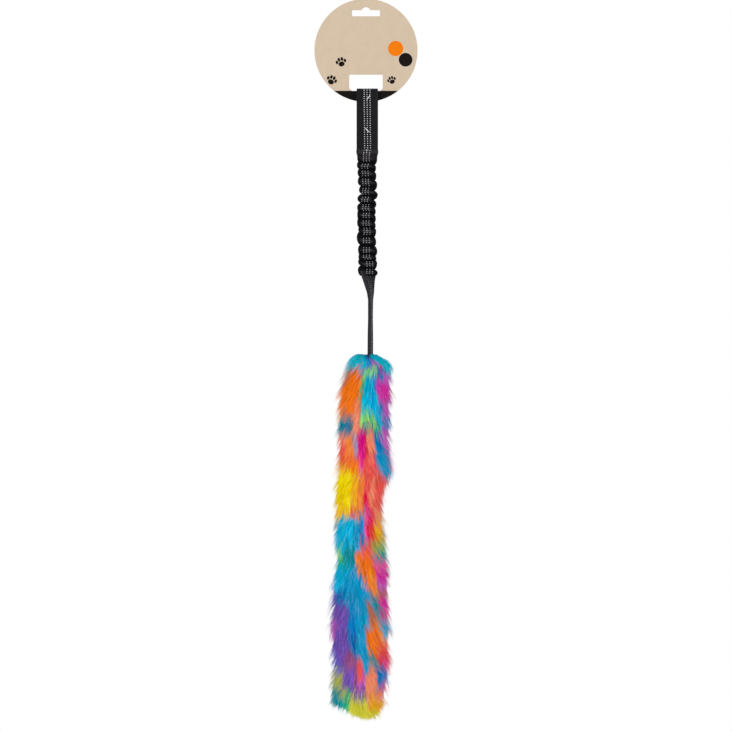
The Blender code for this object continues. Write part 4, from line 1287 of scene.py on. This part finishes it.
# Where something is drawn at random, its pair is the least and the most, or the mean and the spread in
# TUFT_STAND and STRAND_TIP. Stands and tips are in metres and leans in radians. Falls, reaches, lifts,
# shades and widths are multiples.
TUFT_STAND = (-0.0002, 0.0009)
TUFT_LEAN = 0.10
TUFT_SHADE = (0.80, 1.12)
LOCK_FALL = (0.80, 1.18)
LOCK_STAND = 0.0007
LOCK_LEAN = 0.08
LOCK_SHADE = (0.79, 1.15)
WILD_STAND = (0.001, 0.003)
WILD_LEAN = 0.17
STRAND_FALL = (0.86, 1.1)
STRAND_STAND = 0.0005
STRAND_SHADE = (0.76, 1.18)
STRAND_WIDTH = (0.75, 1.25)
STRAND_TIP = (-0.001, 0.0018)
LOOSE_STAND = 0.003
LOOSE_LEAN = 0.30
CAP_LENGTH_SHARE = 0.45
CAP_REACH = (0.002, 0.026)
CROWN_RISE = 0.006
CROWN_DEPTH = 0.030
CROWN_QUICK_DEPTH = 0.022
# Painted shade: how much darker a strand is for each metre it lies deeper, and the limits of that.
PAINTED_SHADE_PER_METRE_DEEP = 110
PAINTED_SHADE_LIMITS = (0.7, 1.1)
HEM_ROUNDING = 0.002
HEM_STRANDS = 2600
HEM_SPREAD = 0.008
HEM_TIP = 0.0018
HEM_LEAN = 0.10
HEM_SHADE = (0.80, 1.0)
HEM_DEPTH = 0.003
WISP_ROW_PITCH = 0.0058
WISPS_ROUND = 28
WISP_JITTER = 0.5
WISP_SPREAD = 0.0016
WISP_DRAW = 0.88
WISP_CLEAR = (0.008, 0.002)
STRANDS_PER_WISP = 8
WISP_LENGTH = 0.0200
WISP_CAP_SHARE = 0.35
WISP_DEPTH = 0.0050
WISP_OUT = 0.0062
WISP_REACH = (0.55, 1.35)
WISP_LIFT = (0.5, 1.5)
WISP_LEAN = 0.22
WISP_SHADE = (0.85, 1.12)
WISP_FALL = (0.8, 1.1)
WISP_TIP = (0.001, 0.006)
WISP_STRAND_LIFT = (0.75, 1.05)
WISP_WIDTH_SHARE = 0.62
STRAND_HALF_WIDTH = 0.00028
STATION_SHARES = (0, 0.34, 0.68, 1.0)
TAPER_SHARES = (1.0, 0.95, 0.62)
TIP_INSET = 0.0006
FALL_POWER = 1.25
LEAN_POWER = 1.2
STAND_POWER = 1.5
SINK_POWER = 1.5
CROWN_SINK_POWER = 2.0
OUT_TILT = 0.12
SMOOTHNESS = 0.72
# Painted shade along a strand, from root to tip.
ROOT_TO_TIP_PAINTED_SHADE = (0.36, 0.76, 1.0, 1.12)
PALE_SHARE = 0.07
PALE_TIP = 0.30
PALE_BELOW_TIP = 0.4
PATCH_JITTER = 0.14
JITTERS = 7
BACK_FLOW_SHARE = -0.6
SEED = 11
FLOW_DEG = (
    (355, -30, 0, 34), (375, -14, -4, 12), (400, -7, -2, 6), (425, -3, 2, 10), (450, -4, 6, 20),
    (480, -2, 9, 16), (510, -6, 6, 6), (540, -6, 2, 10), (570, -4, 10, 14), (600, -3, 10, 20),
    (640, -4, 8, 16), (670, -5, 4, 8), (720, 4, 0, -4),
)
END_PX = (
    (331, 694), (333, 698), (337, 703), (345, 708), (353, 714), (359, 718), (371, 718.5), (378, 711),
    (381, 701), (385, 691),
)


def end_at(angle, inset=0):
    """The height where the pile ends: set from left to right, and a little higher front and back."""
    middle, half = fur_outline(hem_z)
    ends = np.array(END_PX)
    low = photo_z(np.interp(middle + (half - inset) * np.sin(angle), photo_x(ends[:, 0]), ends[:, 1]))
    return low + HEM_ROUNDING * np.cos(angle) ** 2


def cap_share(z):
    """How much of its full length the pile has: it is short round the strap, and full 26 mm below the top."""
    return CAP_LENGTH_SHARE + (1 - CAP_LENGTH_SHARE) * step(fur_top - z, *CAP_REACH)


def flow_at(angle, z):
    """The pile's sideways lean, in radians: set at the left, the front and the right, and down the tail."""
    left, front, right = (down(z, FLOW_DEG, i) for i in (1, 2, 3))
    side = np.sin(angle)
    lean = np.where(side < 0, front + (front - left) * side, front + (right - front) * side)
    return np.radians(lean) * np.where(np.cos(angle) < 0, BACK_FLOW_SHARE, 1)


def set_out(low_share, high_share, pitch, columns, stagger, jitter, rng):
    """Where locks stand between two shares of the tail's length: the row, column, height and angle of each.

    There is a row to every pitch of height, and each lock stands at random within it. Every other row is
    shifted round by the stagger, and each lock by up to the jitter.
    """
    rows = int(round((high_share - low_share) * fur_length / pitch))
    row, column = (n.ravel() for n in np.meshgrid(np.arange(rows), np.arange(columns), indexing="ij"))
    z = fur_top - fur_length * low_share - (row + rng.uniform(0, 1, len(row))) * pitch
    angle = (column + row % 2 * stagger + rng.uniform(-jitter, jitter, len(row))) * (2 * math.pi / columns)
    return row, column, z, angle


def roots(angle, z, spread, clear, rng):
    """Where strands are rooted, spread round the middles of their locks, and the height left under each.

    They keep clear of the tail's end and of its top.
    """
    angle_off = rng.normal(0, spread, len(z)) / MEAN_RADIUS
    height_off = rng.normal(0, spread, len(z))
    lowest = end_at(angle + angle_off)
    root_z = np.clip(z + height_off, lowest + clear[0], fur_top - clear[1])
    lie = {"angle": angle + angle_off, "z": root_z, "angle_off": angle_off, "height_off": height_off}
    return lie, root_z - lowest


def dense_pile(low_share, high_share, rng):
    """How the strands of the pile lie between two shares of the tail's length, in locks.

    The strands of a lock end close together, and the locks of a tuft stand off and lean alike. A few loose
    strands and wild locks stand further off and lean their own way.
    """
    row, column, lock_z, lock_angle = set_out(
        low_share, high_share, LOCK_ROW_PITCH, LOCKS_ROUND, LOCK_STAGGER, LOCK_JITTER, rng
    )
    locks = len(row)
    tufts_round = LOCKS_ROUND // TUFT_COLUMNS
    tufts = ((row[-1] + 1) // TUFT_ROWS + 2) * tufts_round
    shifted = column + rng.integers(0, TUFT_FRAY, locks) + row // TUFT_ROWS * TUFT_SHIFT
    shifted = shifted // TUFT_COLUMNS % tufts_round
    tuft = (row + rng.integers(0, TUFT_FRAY, locks)) // TUFT_ROWS * tufts_round + shifted
    tuft_stand = rng.normal(*TUFT_STAND, tufts)[tuft]
    tuft_lean = rng.normal(0, TUFT_LEAN, tufts)[tuft]
    tuft_shade = rng.uniform(*TUFT_SHADE, tufts)[tuft]
    fall = PILE_FALL * rng.uniform(*LOCK_FALL, locks)
    wild = rng.random(locks) < WILD_SHARE
    stand = tuft_stand + rng.normal(0, LOCK_STAND, locks) - np.where(wild, rng.uniform(*WILD_STAND, locks), 0)
    stand += DEEP_INSET * (rng.random(locks) < DEEP_SHARE)
    lean = flow_at(lock_angle, lock_z) + tuft_lean + rng.normal(0, LOCK_LEAN + WILD_LEAN * wild, locks)
    shade = rng.uniform(*LOCK_SHADE, locks) * tuft_shade

    number = np.repeat(np.arange(locks), STRANDS_PER_LOCK)
    count = len(number)
    loose = rng.random(count) < LOOSE_SHARE
    lie, room = roots(lock_angle[number], lock_z[number], LOCK_SPREAD, LOCK_CLEAR, rng)
    length = fall[number] * rng.uniform(*STRAND_FALL, count) * cap_share(lie["z"])
    stand = stand[number] + rng.normal(0, STRAND_STAND, count)
    stand -= np.where(loose, rng.uniform(0, LOOSE_STAND, count), 0)
    # Strands that lie deeper in the pile are painted darker: painted shade.
    return lie | {
        "length": np.minimum(length, room + rng.normal(*STRAND_TIP, count)),
        "lean": lean[number] + np.where(loose, rng.normal(0, LOOSE_LEAN, count), 0),
        "draw": np.where(loose, 0, LOCK_DRAW),
        "stand": stand,
        "shade": shade[number] * np.clip(1 - PAINTED_SHADE_PER_METRE_DEEP * stand, *PAINTED_SHADE_LIMITS),
        "depth": np.full(count, PILE_DEPTH),
        "width": np.ones(count),
    }


def hem_fill(rng):
    """Strands inside the tail's lower end, spread evenly over its section, so it is full from any side."""
    _, half = fur_outline(hem_z)
    angle = rng.uniform(-math.pi, math.pi, HEM_STRANDS)
    inset = half * (1 - np.sqrt(rng.uniform(0, 1, HEM_STRANDS)))
    root_z = hem_z + rng.uniform(0, HEM_SPREAD, HEM_STRANDS)
    still = np.zeros(HEM_STRANDS)
    return {
        "angle": angle, "z": root_z, "angle_off": still, "height_off": still,
        "length": root_z - end_at(angle, inset) + rng.normal(0, HEM_TIP, HEM_STRANDS),
        "lean": rng.normal(0, HEM_LEAN, HEM_STRANDS),
        "draw": still,
        "stand": inset,
        "shade": rng.uniform(*HEM_SHADE, HEM_STRANDS),
        "depth": inset + HEM_DEPTH,
        "width": still + 1,
    }


def wisps(low_share, high_share, rng):
    """How the strands of the wisps lie. Those of one wisp meet at a tip that stands clear of the pile."""
    row, _, wisp_z, wisp_angle = set_out(
        low_share, high_share, WISP_ROW_PITCH, WISPS_ROUND, 0, WISP_JITTER, rng
    )
    reach = rng.uniform(*WISP_REACH, len(row))
    out = WISP_OUT * reach * rng.uniform(*WISP_LIFT, len(row))
    lean = flow_at(wisp_angle, wisp_z) + rng.normal(0, WISP_LEAN, len(row))
    shade = rng.uniform(*WISP_SHADE, len(row))

    number = np.repeat(np.arange(len(row)), STRANDS_PER_WISP)
    count = len(number)
    lie, room = roots(wisp_angle[number], wisp_z[number], WISP_SPREAD, WISP_CLEAR, rng)
    length = WISP_LENGTH * reach[number] * rng.uniform(*WISP_FALL, count)
    length *= WISP_CAP_SHARE + (1 - WISP_CAP_SHARE) * cap_share(lie["z"])
    return lie | {
        "length": np.minimum(length, room + rng.uniform(*WISP_TIP, count)),
        "lean": lean[number],
        "draw": np.full(count, WISP_DRAW),
        "stand": 0 - out[number] * rng.uniform(*WISP_STRAND_LIFT, count),
        "shade": shade[number],
        "depth": np.full(count, WISP_DEPTH),
        "width": np.full(count, WISP_WIDTH_SHARE),
    }


def strands(lie, rng):
    """Strands from how each of them lies: their points, colours and normals, and their roots.

    A strand leaves the cloth at its root, bends over, and falls to its tip on the fur's outer surface. Its
    depth shrinks by a power of the length that is left, and its height and angle change by powers of the
    length that is past. It is read at four stations, and is a three-sided prism that tapers to a point.
    """
    root_angle, root_z, length = lie["angle"], lie["z"], lie["length"]
    count = len(root_z)
    s = np.array(STATION_SHARES)
    crown = CROWN_RISE * step(root_z, fur_top - CROWN_DEPTH, fur_top)
    z = root_z[:, None] + crown[:, None] * 4 * s * (1 - s)
    z -= length[:, None] * s ** FALL_POWER + (lie["height_off"] * lie["draw"])[:, None] * s
    angle = root_angle[:, None] + (np.tan(lie["lean"]) * length / MEAN_RADIUS)[:, None] * s ** LEAN_POWER
    angle -= (lie["angle_off"] * lie["draw"])[:, None] * s
    quick = SINK_POWER + CROWN_SINK_POWER * (1 - step(fur_top - root_z, 0, CROWN_QUICK_DEPTH))[:, None]
    inset = lie["depth"][:, None] * (1 - s) ** quick + TIP_INSET
    inset = inset + lie["stand"][:, None] * s ** STAND_POWER
    spine = on_fur(angle, z, inset)

    patch = patch_at(angle[:, 1:].mean(1), z[:, 1:].mean(1), rng.normal(0, PATCH_JITTER, (count, JITTERS)))
    colour = patch_colours[patch] * (lie["shade"] * rng.uniform(*STRAND_SHADE, count))[:, None]

    slope = np.gradient(spine, axis=1)
    slope /= np.linalg.norm(slope, axis=2)[..., None]
    out = np.stack([np.sin(angle), -np.cos(angle), 0 * angle + OUT_TILT], -1)
    side = np.cross(slope, out)
    side /= np.linalg.norm(side, axis=2)[..., None]
    up = np.cross(side, slope)
    half = STRAND_HALF_WIDTH * lie["width"] * rng.uniform(*STRAND_WIDTH, count)
    half = half[:, None] * np.array(TAPER_SHARES)
    turn = np.radians((90, 210, 330))
    ring = np.cos(turn)[:, None] * side[:, :3, None] + np.sin(turn)[:, None] * up[:, :3, None]
    body = spine[:, :3, None] + half[..., None, None] * ring
    points = np.concatenate([body.reshape(count, 9, 3), spine[:, 3:]], 1)
    soft = SMOOTHNESS * out[:, :3, None] + (1 - SMOOTHNESS) * ring
    normals = np.concatenate([soft.reshape(count, 9, 3), out[:, 3:]], 1)
    # Painted shade along each strand: darkest at its root, where the pile shades it, and a little lighter at
    # its tip.
    along = colour[:, None] * np.array(ROOT_TO_TIP_PAINTED_SHADE)[None, :, None]
    pale = np.where(rng.random(count) < PALE_SHARE, PALE_TIP, 0.0)[:, None]
    along[:, 3] += (1 - along[:, 3]) * pale
    along[:, 2] += (1 - along[:, 2]) * pale * PALE_BELOW_TIP
    colours = np.concatenate([np.repeat(along[:, :3], 3, axis=1), along[:, 3:]], 1)
    return points, np.clip(colours, 0, 1), normals, root_angle, root_z


# A strand's ten points are three rings of three and its tip. Its faces join them, and close its root.
STRAND_QUADS = np.array([
    (low + j, low + (j + 1) % 3, low + 3 + (j + 1) % 3, low + 3 + j) for low in (0, 3) for j in range(3)
])
STRAND_TIPS = np.array([(6 + j, 6 + (j + 1) % 3, 9) for j in range(3)])
STRAND_ROOT = np.array([(2, 1, 0)])
# In its cell of the bake map the rings lie one over the other, with the tip at the top.
STRAND_UV = np.array([(0.15 + 0.35 * (i % 3), 0.12 + 0.25 * (i // 3)) for i in range(9)] + [(0.5, 0.88)])

pile = Finish("fur_pile", Roughness=0.55, Specular_IOR_Level=0.02)
# The pile's point colours are its dye with painted shade.
pile_dye_and_shade = pile.node("VertexColor", layer_name="pile_colour")
streaks = pile.noise(pile.drawn((1400, 1400, 120)), 1, 2)
pile.shows(
    Base_Color=pile.node("HueSaturation", {"Value": streaks.ramp(0.3, 0.7, 0.88, 1.12), "Color": pile_dye_and_shade}),
    Roughness=streaks.ramp(0.3, 0.7, 0.62, 0.46),
)


def fur_piece(name, points, colours, normals, root_angle, root_z):
    """Strands as one mesh, shaded softly by their own normals.

    In its bake map each strand has a small cell, in order of height and then angle. Real hair lets light
    through, so the strands cast no shadow and dim no bounced light: the backing does both.
    """
    count = len(points)
    side = math.ceil(math.sqrt(count))
    cell = np.zeros((count, 2))
    for row, band in enumerate(np.array_split(np.lexsort((root_angle, -root_z)), side)):
        cell[band[np.argsort(root_angle[band])], 0] = np.arange(len(band))
        cell[band, 1] = row
    uv = (cell[:, None] + STRAND_UV[None]) / side
    first = (np.arange(count) * len(STRAND_UV))[:, None, None]
    groups = (STRAND_QUADS, STRAND_TIPS, STRAND_ROOT)
    faces = [(group[None] + first).reshape(-1, group.shape[1]) for group in groups]
    cells = [uv[:, group].reshape(-1, group.shape[1], 2) for group in groups]
    made = surface(name, points.reshape(-1, 3), faces, pile.material, {"OFBake": cells}, sharp_deg=120)
    # The strands' colours hold their dye and painted shade.
    dye_and_shade(made, colours.reshape(-1, 3))
    made.data.normals_split_custom_set_from_vertices(units(normals.reshape(-1, 3)).tolist())
    made.visible_shadow = False
    made.visible_diffuse = False
    return made


rng = np.random.default_rng(SEED)
for number, (low, high) in enumerate(lengths, 1):
    dense = dense_pile(low, high, rng)
    if high == 1:
        filling = hem_fill(rng)
        dense = {key: np.concatenate([dense[key], filling[key]]) for key in dense}
    piece = fur_piece(f"fur_{number}_pile", *strands(dense, rng))
    sew(piece, number)
    sew(fur_piece(f"fur_{number}_wisps", *strands(wisps(low, high, rng), rng)), number)
    if number < len(lengths):
        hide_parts(f"fur_{number}")


# Floor and light
# A pale floor below the toy, which fades to white away from it. Two large soft lamps stand in front and one
# behind, and the surroundings are white, so a colour shows about as it is written.
FLOOR_DROP = 0.14
FLOOR_HALF = 3.0
FADE_REACH = (0.20, 0.80)
FADE_SHARES = (0.3, 1.0)
SURROUND_STRENGTH = 0.70
LAMPS = (
    ("key_lamp", (-1.3, -2.2, 0.7), 26, 1.2), ("fill_lamp", (1.9, -1.6, 0.1), 9, 1.6),
    ("back_lamp", (0.9, 2.4, 0.5), 12, 1.6),
)

floor_z = cad_box[0][2] - FLOOR_DROP
floor = put("floor", bpy.data.meshes.new("floor"))
corners = FLOOR_HALF * np.array(((-1, -1), (1, -1), (1, 1), (-1, 1)))
floor.data.from_pydata([(x, y, floor_z) for x, y in corners], [], [(0, 1, 2, 3)])
plain = Finish("floor", Base_Color=screen(244, 244, 244), Roughness=0.9)
floor_x, floor_y, _ = plain.axes(plain.place())
far = (floor_x * floor_x + floor_y * floor_y) ** 0.5
fade = far.ramp(*FADE_REACH, *FADE_SHARES) * plain.node("LightPath", output="Is Camera Ray")
glow = plain.node("Emission", {"Color": (1, 1, 1, 1), "Strength": 1.0})
mixed = plain.node("MixShader", (fade, Value(plain, plain.shader.outputs[0]), glow))
plain.tree.links.new(mixed.socket, plain.tree.nodes["Material Output"].inputs["Surface"])
floor.data.materials.append(plain.material)

white = Finish("surroundings", bpy.data.worlds, "Background", Color=(1, 1, 1, 1))
seen = white.node("LightPath", output="Is Camera Ray")
seen = seen.math("MAXIMUM", white.node("LightPath", output="Is Glossy Ray"))
bpy.context.scene.world = white.shows(Strength=seen.ramp(0, 1, SURROUND_STRENGTH, 1))

for name, place, watts, side in LAMPS:
    lamp = put(name, bpy.data.lights.new(name, "AREA"))
    lamp.data.energy = watts
    lamp.data.size = side
    lamp.location = place
    aim = Vector((0, 0, photo_z(PHOTO_SIDE / 2))) - Vector(place)
    lamp.rotation_mode = "QUATERNION"
    lamp.rotation_quaternion = aim.to_track_quat("-Z", "Y")
